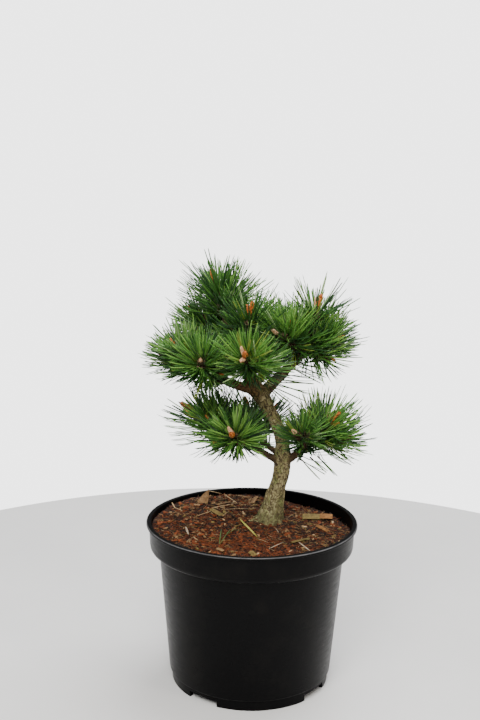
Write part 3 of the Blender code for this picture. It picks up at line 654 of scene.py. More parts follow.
def bowed_spine(start, tip, sag, root_radius, tip_radius, steps):
    """Return a tapering line from start to tip whose middle hangs down by the sag."""
    spine = []
    for step in range(steps + 1):
        along = step / steps
        place = start.lerp(tip, along)
        place.z -= 4 * sag * along * (1 - along)
        radius = root_radius + (tip_radius - root_radius) * along
        spine.append(Vector((*place, radius)))
    return spine


def bough_spine(bough, trunk):
    """Return a bough's centre line, from inside the trunk to its tip."""
    start = point_at_height(trunk, bough.leaves_at)
    tip = Vector(bough.tip) * MM + Vector((0, 0, SOIL_LEVEL))
    return bowed_spine(
        start.to_3d(), tip, bough.sag * MM, bough.root_radius * MM, bough.tip_radius * MM, BOUGH_STEPS,
    )


def mass_stem(mass, limbs):
    """Return the centre line of a mass's stem, from a limb's tip or from inside the trunk."""
    spine = limbs[mass.limb]
    if mass.leaves_at is None:
        end = spine[-1]
        heading = (end - spine[-2]).to_3d().normalized()
        start = end.to_3d() + heading * GAP
        radius = end.w * STEM_RADIUS_SHARE
    else:
        start = point_at_height(spine, mass.leaves_at).to_3d()
        heading = bearing(mass.azimuth, mass.elevation)
        radius = SHOOT_ROOT_RADIUS
    middle = start + heading * mass.stem * MM / 2
    tip = middle + bearing(mass.azimuth, mass.elevation) * mass.stem * MM / 2
    return [Vector((*place, radius)) for place in (start, middle, tip)]


def mass_shoots(mass, stem):
    """Return the centre lines of the shoots that leave the end of a stem."""
    start = stem[-1].to_3d()
    shoots = []
    for shoot in mass.shoots:
        tip = start + bearing(shoot.azimuth, shoot.elevation) * shoot.length * MM
        shoots.append(bowed_spine(
            start, tip, shoot.sag * MM, SHOOT_ROOT_RADIUS, SHOOT_TIP_RADIUS, TWIG_STEPS,
        ))
    return shoots


def spine_length(spine):
    """Return the length of a spine."""
    return sum((high - low).to_3d().length for low, high in zip(spine, spine[1:]))


def along_spine(spine, share):
    """Return the place and the direction at a share of a spine's length."""
    place = share * (len(spine) - 1)
    index = min(int(place), len(spine) - 2)
    low = spine[index]
    high = spine[index + 1]
    return low.lerp(high, place - index), (high - low).to_3d().normalized()


def across(direction, turn):
    """Return the unit vector across a direction, turned about it from the upright."""
    up = UP if abs(direction.z) < NEARLY_UPRIGHT else Vector((0, 1, 0))
    side = direction.cross(up).normalized()
    return side * cos(turn) + side.cross(direction) * sin(turn)


def distance_to_segment(place, start, end):
    """Return the distance from a place to a segment, and the share along it."""
    line = end - start
    share = max(0.0, min(1.0, (place - start).dot(line) / line.length_squared))
    return (place - start - line * share).length, share


def distance_to_spine(place, spine):
    """Return the distance from a place to the centre line of a spine."""
    pairs = zip(spine, spine[1:])
    return min(distance_to_segment(place, low.to_3d(), high.to_3d())[0] for low, high in pairs)


def clear_of_limb(place, spine, margin):
    """Tell whether a place is outside a limb's surface by more than a margin."""
    for low, high in zip(spine, spine[1:]):
        distance, share = distance_to_segment(place, low.to_3d(), high.to_3d())
        if distance < low.w + (high.w - low.w) * share + margin:
            return False
    return True


def grow_twigs(shoots, rule, others, limbs, rng):
    """Return short twigs on the shoots that are long enough, each where it finds room."""
    twigs = []
    for shoot in shoots:
        length = spine_length(shoot)
        if length < rule.grows_from:
            continue
        start, heading = along_spine(shoot, rule.leaves_at)
        turn = rng.uniform(0.0, tau)
        for attempt in range(TWIG_TRIES):
            outward = across(heading, turn + attempt * GOLDEN_ANGLE)
            course = heading * cos(TWIG_SPREAD) + outward * sin(TWIG_SPREAD)
            tip = start.to_3d() + course * length * rule.share
            siblings = [other for other in shoots + twigs if other is not shoot]
            room = min((distance_to_spine(tip, other) for other in siblings + others), default=inf)
            clear = all(clear_of_limb(tip, limb, rule.room) for limb in limbs.values())
            if room > rule.room and clear and course.z > LOWEST_COURSE:
                twigs.append(bowed_spine(
                    start.to_3d(), tip, 0.0, rule.radius, rule.radius, TWIG_STEPS,
                ))
                break
    return twigs


def plan_leafage(limbs):
    """Return the stem, shoots, side twigs and finer twigs of every mass."""
    leafages = {}
    for name, mass in MASSES.items():
        stem = mass_stem(mass, limbs)
        leafages[name] = Leafage(stem, mass_shoots(mass, stem), [], [])
    for name, leafage in leafages.items():
        others = spines_of_others(name, leafages)
        leafage.twigs.extend(grow_twigs(leafage.shoots, SIDE_TWIGS, others, limbs, random.Random(name)))
    for name, leafage in leafages.items():
        others = spines_of_others(name, leafages)
        bearers = leafage.shoots + leafage.twigs
        for rule in (FINE_TWIGS, FINEST_TWIGS):
            leafage.fine_twigs.extend(grow_twigs(bearers, rule, others, limbs, random.Random(name)))
    return leafages


def spines_of_others(name, leafages):
    """Return the shoots and twigs of every mass but one."""
    others = []
    for other, neighbour in leafages.items():
        if other != name:
            others += neighbour.shoots + neighbour.twigs + neighbour.fine_twigs
    return others


# Bark: one skin over overlapping tubes, with plates, cracks and lumps

def side_quads(sides, rings=2):
    """Return the quads between rings that each have this number of corners."""
    around = np.arange(sides)
    after = (around + 1) % sides
    band = np.stack([around, after, after + sides, around + sides], axis=1)
    return (np.arange(rings - 1)[:, None, None] * sides + band).reshape(-1, 4)


def tube(spine, sides, level_height=0.0, shape=None):
    """Return the vertices and faces of a closed tube along a spine of x, y, z and radius."""
    verts = []
    for point, (side, up) in zip(spine, ring_frames(spine, level_height)):
        for index in range(sides):
            turn = index * tau / sides
            radius = point.w * (shape(point.z, turn) if shape else 1.0)
            verts.append(point.to_3d() + (side * cos(turn) + up * sin(turn)) * radius)
    rings = len(spine)
    ends = [range(sides)[::-1], range((rings - 1) * sides, rings * sides)]
    return verts, side_quads(sides, rings).tolist() + ends


def joined_mesh(name, shapes):
    """Return one mesh from several lists of vertices and faces."""
    verts = []
    faces = []
    for shape_verts, shape_faces in shapes:
        base = len(verts)
        verts += list(shape_verts)
        faces += [tuple(corner + base for corner in face) for face in shape_faces]
    mesh = bpy.data.meshes.new(name)
    mesh.from_pydata(verts, [], faces)
    return mesh


def toned_mesh(name, shapes, tones):
    """Return one smooth mesh from several shapes, each with the number of its material."""
    mesh = joined_mesh(name, shapes)
    index = [tone for (_, faces), tone in zip(shapes, tones) for _ in faces]
    mesh.polygons.foreach_set("material_index", index)
    mesh.shade_smooth()
    return mesh


def skin_over(name, shapes, grain):
    """Return one even skin over overlapping tubes, with the forks between them rounded."""
    def add_skin(carrier):
        remesh = carrier.modifiers.new("Skin", "REMESH")
        remesh.mode = "VOXEL"
        remesh.voxel_size = grain
        smooth = carrier.modifiers.new("Forks", "SMOOTH")
        smooth.iterations = BARK_SMOOTHING

    return evaluated_mesh(joined_mesh(name, shapes), add_skin)


def sample_spines(spines):
    """Return a tree of points along refined spines, with each point's centre, frame and path length."""
    samples = []
    for index, spine in enumerate(spines):
        travelled = index * SPINE_STAGGER
        frames = ring_frames(spine)
        for low, high, (side, up) in zip(spine, spine[1:], frames):
            length = (high - low).to_3d().length
            steps = max(1, round(length / SAMPLE_STEP))
            for step in range(steps):
                place = low.lerp(high, step / steps)
                samples.append((place, side, up, travelled + length * step / steps))
            travelled += length
    tree = kdtree.KDTree(len(samples))
    for index, sample in enumerate(samples):
        tree.insert(sample[0].to_3d(), index)
    tree.balance()
    return tree, samples


def bark_relief(place, sample):
    """Return how far the bark stands out at a place, and how much it is plate rather than crack."""
    centre, side, up, travelled = sample
    offset = place - centre.to_3d()
    grain = Vector((
        offset.dot(side) / PLATE_WIDTH,
        offset.dot(up) / PLATE_WIDTH,
        (travelled + offset.dot(side.cross(up))) / PLATE_LENGTH,
    ))
    grain += noise.noise_vector(grain * WARP_SCALE) * WARP_DEPTH
    distances, points = noise.voronoi(grain)
    plate = min((distances[1] - distances[0]) / CRACK_WIDTH, 1.0)
    tone = 0.5 + 0.5 * noise.noise(points[0] * TONE_SCALE)
    strength = min(centre.w / FULL_BARK_RADIUS, 1.0)
    rise = (plate - PLATE_LEVEL) * PLATE_DEPTH
    rise += noise.fractal(grain * FLAKE_SCALE, *FLAKE_FRACTAL) * FLAKE_DEPTH
    rise += noise.noise(place / LUMP_SIZE) * LUMP_DEPTH
    return rise * strength, plate, tone


def nearest_samples(trees, place):
    """Return the nearest sample of each tree, with how far the place is outside its limb."""
    nearest = []
    for tree, samples in trees:
        _, number, distance = tree.find(place)
        nearest.append((distance - samples[number][0].w, samples[number]))
    return nearest


def add_relief(mesh, groups):
    """Push a skin in and out by the bark's relief, and keep plates, tones and ages for the material."""
    trees = [sample_spines(spines) for spines in groups]
    count = len(mesh.vertices)
    values = {name: np.zeros(count, np.float32) for name in ("plate", "tone", "age")}
    moved = np.zeros((count, 3), np.float32)
    for index, vert in enumerate(mesh.vertices):
        nearest = nearest_samples(trees, vert.co)
        least, sample = min(nearest, key=lambda found: found[0])
        rise, values["plate"][index], values["tone"][index] = bark_relief(vert.co, sample)
        weights = [exp((least - outside) / FORK_BLEND) for outside, _ in nearest]
        radii = [found[0].w for _, found in nearest]
        radius = sum(weight * radius for weight, radius in zip(weights, radii)) / sum(weights)
        values["age"][index] = min(radius / OLD_WOOD_RADIUS, 1.0)
        moved[index] = vert.co + vert.normal * rise
    mesh.vertices.foreach_set("co", moved.ravel())
    for name, numbers in values.items():
        mesh.attributes.new(name, "FLOAT", "POINT").data.foreach_set("value", numbers)
    mesh.shade_smooth()
    mesh.update()


def make_bark(limbs, material):
    """Make the skin of the trunk and the boughs."""
    trunk = smooth_path(limbs["trunk"], REFINE_STEPS)
    shapes = [tube(trunk, LIMB_SIDES, TRUNK_LEVEL_HEIGHT, trunk_shape)]
    shapes += [tube(toe, LIMB_SIDES) for toe in root_toes()]
    boughs = [smooth_path(limbs[name], REFINE_STEPS) for name in BOUGHS]
    shapes += [tube(bough, LIMB_SIDES) for bough in boughs]
    mesh = skin_over("bark", shapes, BARK_GRAIN)
    add_relief(mesh, [[trunk], boughs])
    add_piece("bark", mesh, [material], ["trunk", *BOUGHS])


def root_toes():
    """Return short lines that run from the trunk's foot out and down into the bed."""
    foot = TRUNK_FOOT.to_3d() + UP * SOIL_LEVEL
    toes = []
    for azimuth, length, radius in ROOT_TOES:
        points = []
        for along, height, share in ROOT_STATIONS:
            place = foot + bearing(azimuth, 0.0) * (ROOT_START + length * along) * MM
            place += UP * ROOT_RISE * height * MM
            points.append((*place, radius * share * MM))
        toes.append(smooth_path(points, REFINE_STEPS))
    return toes


def make_twigs(leafages, material):
    """Make the skin of the stems, shoots and side twigs."""
    spines = []
    for leafage in leafages.values():
        stem = [2 * leafage.stem[0] - leafage.stem[1], *leafage.stem]
        stem[0].w = leafage.stem[0].w
        for spine in [stem, *leafage.shoots, *leafage.twigs, *leafage.fine_twigs]:
            spines.append(smooth_path(spine, REFINE_STEPS))
    mesh = skin_over("twigs", [tube(spine, TWIG_SIDES) for spine in spines], TWIG_GRAIN)
    add_relief(mesh, [spines])
    add_piece("twigs", mesh, [material], list(MASSES))


# Needles, sheaths and buds

def unit(vectors):
    """Return an array of vectors scaled to length one."""
    return vectors / np.linalg.norm(vectors, axis=-1, keepdims=True)


def strands(roots, courses, bends, lengths, widths, outline, thickness):
    """Return the vertices and quads of four-sided strands that curve from their course to their bend.

    The outline gives stations along a strand and the share of its width there, and
    the thickness its share of the width on the rounder and on the flatter side.
    """
    stations, shares = (np.array(column)[None, :, None] for column in zip(*outline))
    reach = lengths[:, None, None]
    centres = roots[:, None] + (courses[:, None] * stations + bends[:, None] * stations ** 2) * reach
    tangents = unit(courses[:, None] + 2 * bends[:, None] * stations)
    sides = np.broadcast_to(unit(np.cross(courses, bends))[:, None], tangents.shape)
    lifts = np.cross(tangents, sides)
    half = widths[:, None, None] / 2 * shares
    rounder, flatter = thickness
    corners = (sides, lifts * rounder, -sides, -lifts * flatter)
    verts = np.stack([centres + corner * half for corner in corners], axis=2)
    count, rings, corner_count = verts.shape[:3]
    around = np.arange(corner_count)
    ends = np.array([around[::-1], around + (rings - 1) * corner_count])
    quads = np.concatenate([side_quads(corner_count, rings), ends])
    faces = np.arange(count)[:, None, None] * rings * corner_count + quads
    return verts.reshape(-1, 3), faces.reshape(-1, 4)


def strands_of(rows, outline, thickness):
    """Return the vertices and quads of strands from rows of root, course, bend, length and width."""
    return strands(*(np.array(column) for column in zip(*rows)), outline, thickness)


def segments_of(spines):
    """Return the starts, ends and radii of the segments of several spines, as arrays."""
    starts = []
    ends = []
    radii = []
    for spine in spines:
        for low, high in zip(spine, spine[1:]):
            starts.append(low.to_3d())
            ends.append(high.to_3d())
            radii.append(max(low.w, high.w))
    return np.array(starts), np.array(ends), np.array(radii)


def distances_to_segments(places, starts, ends):
    """Return the distance from every place to every segment."""
    lines = ends - starts
    offsets = places[:, None] - starts[None]
    shares = np.clip((offsets * lines).sum(-1) / (lines * lines).sum(-1), 0.0, 1.0)
    return np.linalg.norm(offsets - lines * shares[..., None], axis=-1)


def hits_something(root, course, length, limbs, neighbours):
    """Tell whether a needle would run into a limb or into another mass's twigs."""
    places = np.array(root)[None] + np.array(course)[None] * length * NEEDLE_SAMPLES[:, None]
    for (starts, ends, radii), margin in ((limbs, LIMB_MARGIN), (neighbours, TWIG_MARGIN)):
        if (distances_to_segments(places, starts, ends) < radii + margin).any():
            return True
    return False


def pick_tone(draw, light):
    """Return the number of the tone that a draw from 0 to 1 gives where this share of painted light falls:
    bright tones in painted light, deep and cool tones in painted shade.
    """
    light = max(0.0, min(1.0, light))
    total = 0.0
    for number, tone in enumerate(TONES.values()):
        total += tone.share_dark + (tone.share_light - tone.share_dark) * light
        if draw < total:
            return number
    return 0


def grow_pairs(spine, growth, limbs, neighbours, rng):
    """Return the pairs of needles round the part of a shoot beyond its bare share."""
    pairs = []
    stretch = PAIR_LAST - growth.bare
    count = round(spine_length(spine) * stretch * growth.density / PAIR_SPACING)
    for index in range(count):
        if index % SPRAY_PAIRS == 0:
            draw = rng.random()
        outer = (index + rng.random()) / count
        along = growth.bare + stretch * outer
        place, heading = along_spine(spine, along)
        outward = across(heading, index * GOLDEN_ANGLE + rng.gauss(0.0, PAIR_TURN_JITTER))
        lean = PAIR_LEAN_LOW + (PAIR_LEAN_TIP - PAIR_LEAN_LOW) * outer + rng.gauss(0.0, PAIR_LEAN_JITTER)
        course = heading * cos(lean) + outward * sin(lean)
        course = (course + UP * PAIR_UPTURN * (1.0 - course.z)).normalized()
        length = NEEDLE_LENGTH + (NEEDLE_LENGTH_AT_TIP - NEEDLE_LENGTH) * outer ** 2
        length *= 1.0 + PAIR_SHORTER_BELOW * min(course.z, 0.0)
        length *= growth.size * (1.0 + rng.gauss(0.0, NEEDLE_LENGTH_JITTER))
        shortest = length * NEEDLE_SHORTEST
        root = place.to_3d() + outward * place.w * ROOT_DEPTH
        while length > shortest and hits_something(root, course, length, limbs, neighbours):
            length *= NEEDLE_SHORTEN
        if length > shortest:
            breadth = across(course, rng.uniform(0.0, tau))
            # The tone paints light and shade: brighter out along the shoot, partly for younger needles, and
            # brighter where the pair faces up
            tone = pick_tone(draw, LIGHT_LEAST + LIGHT_OUTER * outer + LIGHT_ABOVE * outward.z)
            pairs.append(Pair(root, course, breadth, heading, length, tone))
    return pairs


def lone_pairs(name, rng):
    """Return the few long pairs that stand alone on the bare wood of a mass's bough."""
    pairs = []
    for root, tip in LONE_PAIRS.get(name, ()):
        line = (Vector(tip) - Vector(root)) * MM
        course = line.normalized()
        breadth = across(course, rng.uniform(0.0, tau))
        # Only light tones: painted light on needles that hang in shade below the boughs
        tone = list(TONES).index(rng.choice(LONE_PAINTED_LIGHT_TONES))
        pairs.append(Pair(Vector(root) * MM, course, breadth, LONE_CURVE, line.length, tone))
    return pairs


def needles_of(pairs, rng):
    """Return the rows of pairs of needles: two per pair, parted and curved."""
    needles = []
    for pair in pairs:
        parting = tan(abs(rng.gauss(PAIR_SPREAD, PAIR_SPREAD_JITTER)))
        for side in (-1.0, 1.0):
            course = (pair.course + pair.breadth * parting * side).normalized()
            bend = pair.heading * rng.gauss(NEEDLE_CURVE, NEEDLE_CURVE_JITTER)
            bend -= pair.breadth * side * parting * PAIR_CLOSING
            bend += UP * NEEDLE_UPTURN * (1.0 - course.z)
            bend += across(course, rng.uniform(0.0, tau)) * NEEDLE_WAVE
            root = pair.root + course * SHEATH_LENGTH / 2
            needles.append((root, course, bend, pair.length * rng.uniform(*NEEDLE_LENGTHS)))
    return [(*needle, NEEDLE_WIDTH * rng.uniform(*NEEDLE_WIDTHS)) for needle in needles]


def make_needles(name, pairs, rng, materials):
    """Make the needles of one mass."""
    verts, faces = strands_of(needles_of(pairs, rng), NEEDLE_OUTLINE, NEEDLE_THICKNESS)
    tones = np.repeat([pair.tone for pair in pairs], len(faces) // len(pairs))
    mesh = mesh_from_arrays("needles" + name.removeprefix("foliage"), verts, [faces], tones)
    add_piece(mesh.name, mesh, materials, [name])


def make_sheaths(pairs, material):
    """Make the papery sheath at the foot of every pair."""
    length = SHEATH_LENGTH + SHEATH_SUNK
    rows = []
    for pair in pairs:
        root = pair.root - pair.course * SHEATH_SUNK
        rows.append((root, pair.course, pair.breadth * SHEATH_BEND, length, SHEATH_WIDTH))
    verts, faces = strands_of(rows, SHEATH_OUTLINE, SHEATH_THICKNESS)
    mesh = mesh_from_arrays("needle_sheaths", verts, [faces])
    add_piece("needle_sheaths", mesh, [material], list(MASSES))


def bud_places(spine, count):
    """Return the place and the course of every bud at a shoot's tip: one ahead, the others round it."""
    tip, heading = along_spine(spine, 1.0)
    places = [(tip.to_3d(), heading)]
    for turn in BUD_TURNS[:count - 1]:
        outward = across(heading, turn)
        course = heading * cos(BUD_LEAN) + outward * sin(BUD_LEAN)
        places.append((tip.to_3d() + (outward - heading) * BUD_APART, course))
    return places


def bud_shape(place, course, size):
    """Return the vertices and faces of a bud's core."""
    points = []
    for along, share in BUD_OUTLINE:
        points.append((*(place + course * BUD_LENGTH * size * along), BUD_RADIUS * size * share))
    return tube(smooth_path(points, BUD_STEPS), BUD_SIDES)


def bud_scales(place, course, size):
    """Return the rows of the scales that cover a bud."""
    scales = []
    length = BUD_SCALE_LENGTH * size
    for index in range(BUD_SCALES):
        along = BUD_SCALE_FIRST + (BUD_SCALE_LAST - BUD_SCALE_FIRST) * index / BUD_SCALES
        outward = across(course, index * GOLDEN_ANGLE)
        radius = BUD_RADIUS * size * (1.0 - BUD_TAPER * max(along, 0.0) ** 2)
        root = place + course * BUD_LENGTH * size * along + outward * radius * BUD_SCALE_SEAT
        lean = BUD_SCALE_LEAN - BUD_SCALE_CLOSING * max(along, 0.0)
        heading = (course * cos(lean) + outward * sin(lean)).normalized()
        scales.append((root, heading, -outward * BUD_SCALE_BEND, length, length * BUD_SCALE_WIDTH))
    return scales


def plan_buds(leafages):
    """Return the buds of each kind, with place, course and size, at the tips of shoots and side twigs."""
    rng = random.Random(BUD_SEED)
    buds = [[] for _ in BUD_KINDS]
    for name, leafage in leafages.items():
        for shoot, spine in zip(MASSES[name].shoots, leafage.shoots):
            first, *others = bud_places(spine, shoot.buds)
            buds[shoot.pale].append((*first, shoot.bud_size))
            for place in others:
                buds[rng.random() < PALE_BUD_SHARE].append((*place, SECOND_BUD_SIZE))
        for twig in leafage.twigs:
            buds[0].append((*bud_places(twig, 1)[0], SIDE_BUD_SIZE))
    return buds


def make_buds(leafages, materials):
    """Make the buds, each a core covered by scales."""
    shapes = []
    kinds = []
    for kind, buds in enumerate(plan_buds(leafages)):
        scales = [scale for bud in buds for scale in bud_scales(*bud)]
        shapes += [bud_shape(*bud) for bud in buds]
        shapes.append(strands_of(scales, BUD_SCALE_OUTLINE, BUD_SCALE_THICKNESS))
        kinds += [kind] * (len(buds) + 1)
    add_piece("buds", toned_mesh("buds", shapes, kinds), materials, list(MASSES))


def needled_spines(name, leafage, limbs):
    """Return every line of a mass that bears needles, with how they grow there."""
    mass = MASSES[name]
    spines = []
    for shoot, spine in zip(mass.shoots, leafage.shoots):
        spines.append((spine, Growth(shoot.bare, shoot.needles, mass.density)))
    for twigs, size in ((leafage.twigs, SIDE_NEEDLE_SIZE), (leafage.fine_twigs, FINE_NEEDLE_SIZE)):
        spines += [(spine, Growth(BARE_SHARE, size, mass.density)) for spine in twigs]
    if mass.leafy_steps:
        end = limbs[mass.limb][-1 - mass.leafy_steps:]
        spines.append((end, Growth(0.0, SIDE_NEEDLE_SIZE, mass.density)))
    return spines


def make_foliage(leafages, limbs, materials):
    """Make the needles of every mass, and all the sheaths in one piece."""
    wood = segments_of(list(limbs.values()))
    everything = []
    tones = [materials["needles_" + tone] for tone in TONES]
    for name, leafage in leafages.items():
        rng = random.Random(name)
        neighbours = segments_of(spines_of_others(name, leafages))
        pairs = []
        for spine, growth in needled_spines(name, leafage, limbs):
            pairs += grow_pairs(spine, growth, wood, neighbours, rng)
        pairs += lone_pairs(name, rng)
        make_needles(name, pairs, rng, tones)
        everything += pairs
    make_sheaths(everything, materials["sheath"])


# Pot

def rounded(corners, steps):
    """Return an outline of (radius, height) whose corners of (radius, height, rounding) are arcs."""
    outline = []
    for index, (radius, height, rounding) in enumerate(corners):
        corner = Vector((radius, height))
        if rounding == 0.0:
            outline.append(corner)
            continue
        before = Vector(corners[index - 1][:2])
        after = Vector(corners[index + 1][:2])
        start = corner + (before - corner).normalized() * rounding
        end = corner + (after - corner).normalized() * rounding
        for step in range(steps + 1):
            t = step / steps
            outline.append(start * (1 - t) ** 2 + corner * 2 * t * (1 - t) + end * t ** 2)
    return [(point.x, point.y) for point in outline]


def pot_inside(offset, top):
    """Return the pot's inner corners from its axis to a height, moved in by an offset."""
    wall_radius = FOOT_RADIUS + (RIDGE_RADIUS - FOOT_RADIUS) / 2 - WALL - offset
    floor_height = CHANNEL_HEIGHT + FLOOR + offset
    ledge_height = SHOULDER_HEIGHT + WALL + offset
    band_foot_height = SHOULDER_HEIGHT + BAND_ROUNDING
    rise = (top - band_foot_height) / (POT_HEIGHT - band_foot_height)
    top_radius = BAND_FOOT_RADIUS + (BAND_RADIUS - BAND_FOOT_RADIUS) * rise
    return [
        (0.0, FLOOR + offset, 0.0),
        (PLATE_RADIUS - PLATE_SLOPE - offset, FLOOR + offset, 0.0),
        (PLATE_RADIUS - offset, floor_height, 0.0),
        (wall_radius, floor_height, 0.0),
        (BODY_RADIUS - WALL - offset, ledge_height, 0.0),
        (BAND_FOOT_RADIUS - BAND_ROUNDING / 2 - WALL - offset, ledge_height, 0.0),
        (BAND_FOOT_RADIUS - WALL - offset, band_foot_height, 0.0),
        (top_radius - WALL - offset, top, 0.0),
    ]


def pot_outline():
    """Return the pot's whole outline, with the roundings that a mould leaves."""
    foot_inner = FOOT_RADIUS - FOOT_WIDTH
    inside = pot_inside(0.0, POT_HEIGHT)
    rim_radius, rim_height, _ = inside[-1]
    inside[-1] = (rim_radius, rim_height, EDGE_ROUNDING)
    outside = [
        (LIP_RADIUS, POT_HEIGHT, LIP_ROUNDING),
        (LIP_RADIUS, POT_HEIGHT - LIP_DEPTH, EDGE_ROUNDING),
        (BAND_RADIUS, POT_HEIGHT - LIP_DEPTH, EDGE_ROUNDING),
        (BAND_FOOT_RADIUS, SHOULDER_HEIGHT, BAND_ROUNDING),
        (BODY_RADIUS, SHOULDER_HEIGHT - WALL / 2, COVE_ROUNDING),
        (RIDGE_RADIUS, RIDGE_HEIGHT, LIP_ROUNDING),
        (FOOT_RADIUS, RIDGE_HEIGHT - WALL / 2, LIP_ROUNDING),
        (FOOT_RADIUS, 0.0, EDGE_ROUNDING),
        (foot_inner, 0.0, EDGE_ROUNDING),
        (foot_inner, CHANNEL_HEIGHT, EDGE_ROUNDING),
        (PLATE_RADIUS + PLATE_SLOPE, CHANNEL_HEIGHT, EDGE_ROUNDING),
        (PLATE_RADIUS, 0.0, EDGE_ROUNDING),
        (0.0, 0.0, 0.0),
    ]
    return rounded(inside + outside, ROUNDING_STEPS)


def turned_mesh(name, outline, segments):
    """Turn an outline of (radius, height) points, with its ends on the axis, about Z."""
    bm = bmesh.new()
    verts = [bm.verts.new((radius, 0.0, height)) for radius, height in outline]
    edges = [bm.edges.new(pair) for pair in zip(verts, verts[1:])]
    bmesh.ops.spin(
        bm, geom=verts + edges, cent=(0, 0, 0), axis=(0, 0, 1),
        angle=tau, steps=segments, use_merge=True,
    )
    bmesh.ops.remove_doubles(bm, verts=bm.verts, dist=MERGED_WITHIN)
    bmesh.ops.recalc_face_normals(bm, faces=bm.faces)
    mesh = bpy.data.meshes.new(name)
    bm.to_mesh(mesh)
    bm.free()
    return mesh


def prism(corners, low, high):
    """Return the vertices and faces of an upright prism on the given corners."""
    count = len(corners)
    verts = [Vector((x, y, height)) for height in (low, high) for x, y in corners]
    return verts, [range(count)[::-1], range(count, 2 * count), *side_quads(count).tolist()]


def drain_cutters():
    """Return the wedges that cut the foot ring and the round prisms that cut the channel."""
    cutters = []
    inner = FOOT_RADIUS - FOOT_WIDTH - WALL
    outer = FOOT_RADIUS + WALL
    for index in range(NOTCH_COUNT):
        middle = NOTCH_FIRST + index * tau / NOTCH_COUNT
        corners = []
        for radius, turn in ((inner, -0.5), (outer, -0.5), (outer, 0.5), (inner, 0.5)):
            place = middle + turn * NOTCH_ANGLE
            corners.append((radius * cos(place), radius * sin(place)))
        cutters.append(prism(corners, -WALL, NOTCH_HEIGHT))
    for index in range(HOLE_COUNT):
        middle = NOTCH_FIRST + index * tau / HOLE_COUNT
        corners = []
        for side in range(HOLE_SIDES):
            turn = side * tau / HOLE_SIDES
            x = HOLE_CIRCLE * cos(middle) + HOLE_RADIUS * cos(turn)
            y = HOLE_CIRCLE * sin(middle) + HOLE_RADIUS * sin(turn)
            corners.append((x, y))
        cutters.append(prism(corners, WALL, CHANNEL_HEIGHT + FLOOR + WALL))
    return cutters


def make_pot(material):
    """Turn the pot with rounded edges and cut its drain notches and holes."""
    cutter = new_object("cutter", joined_mesh("cutter", drain_cutters()))

    def add_cut(carrier):
        cut = carrier.modifiers.new("Drains", "BOOLEAN")
        cut.operation = "DIFFERENCE"
        cut.solver = "EXACT"
        cut.object = cutter

    mesh = evaluated_mesh(turned_mesh("pot", pot_outline(), POT_SEGMENTS), add_cut)
    bpy.data.objects.remove(cutter, do_unlink=True)
    mesh.shade_smooth()
    mesh.set_sharp_from_angle(angle=POT_SHARP_FROM)
    add_piece("nursery_pot", mesh, [material], ["pot"])


# Soil: a bed with chips, fibres and crumbs on it

def bed_rise(x, y):
    """Return how far the bed is heaped up towards one side of the pot's wall."""
    share = (x * cos(BED_RISE_TOWARDS) + y * sin(BED_RISE_TOWARDS)) / BAND_FOOT_RADIUS
    return BED_RISE * max(share, 0.0) ** BED_RISE_POWER


def bed_height(x, y):
    """Return the height of the bed at a place."""
    rough = noise.fractal(Vector((x, y, 0.0)) / BED_WAVE, *BED_FRACTAL)
    mound = BED_MOUND * exp(-((Vector((x, y)) - TRUNK_FOOT).length / BED_MOUND_RADIUS) ** 2)
    return SOIL_LEVEL + rough * BED_ROUGHNESS + mound + bed_rise(x, y)


def make_bed(material):
    """Make the plug of soil, with its uneven top."""
    corners = pot_inside(GAP, SOIL_LEVEL - BED_EDGE)
    outline = [(radius, height) for radius, height, _ in corners]
    rim_radius = outline[-1][0]
    for ring in range(BED_RINGS, -1, -1):
        outline.append((rim_radius * ring / BED_RINGS, SOIL_LEVEL))
    mesh = turned_mesh("soil_bed", outline, BED_SEGMENTS)
    for vert in mesh.vertices:
        if vert.co.z > SOIL_LEVEL - BED_EDGE / 2:
            vert.co.z = bed_height(vert.co.x, vert.co.y)
    mesh.shade_smooth()
    add_piece("soil_bed", mesh, [material], ["soil"])


def strewn(seed, count, reach, sizes, power):
    """Return a source of numbers, places with room to the pot's wall, and lengths, of which few are long."""
    wall = pot_inside(GAP, SOIL_LEVEL)[-1][0]
    draws = random.Random(seed)
    places = []
    while len(places) < count:
        radius = (wall - reach) * sqrt(draws.random())
        turn = draws.uniform(0.0, tau)
        place = Vector((radius * cos(turn), radius * sin(turn)))
        if (place - TRUNK_FOOT).length > FOOT_CLEARANCE:
            places.append((place.x, place.y, bed_height(place.x, place.y)))
    rng = np.random.default_rng(seed)
    shortest, longest = sizes
    return rng, np.array(places), shortest + (longest - shortest) * rng.random(count) ** power


def lying_axes(count, tilt, rng):
    """Return random frames that lie nearly flat: along, across and up for each piece."""
    slopes = [rng.normal(0.0, tilt, count) for _ in range(2)]
    ups = unit(np.stack([*slopes, np.ones(count)], axis=1))
    turns = rng.uniform(0.0, tau, count)
    alongs = np.stack([np.cos(turns), np.sin(turns), np.zeros(count)], axis=1)
    alongs = unit(alongs - ups * (alongs * ups).sum(1, keepdims=True))
    return alongs, np.cross(ups, alongs), ups


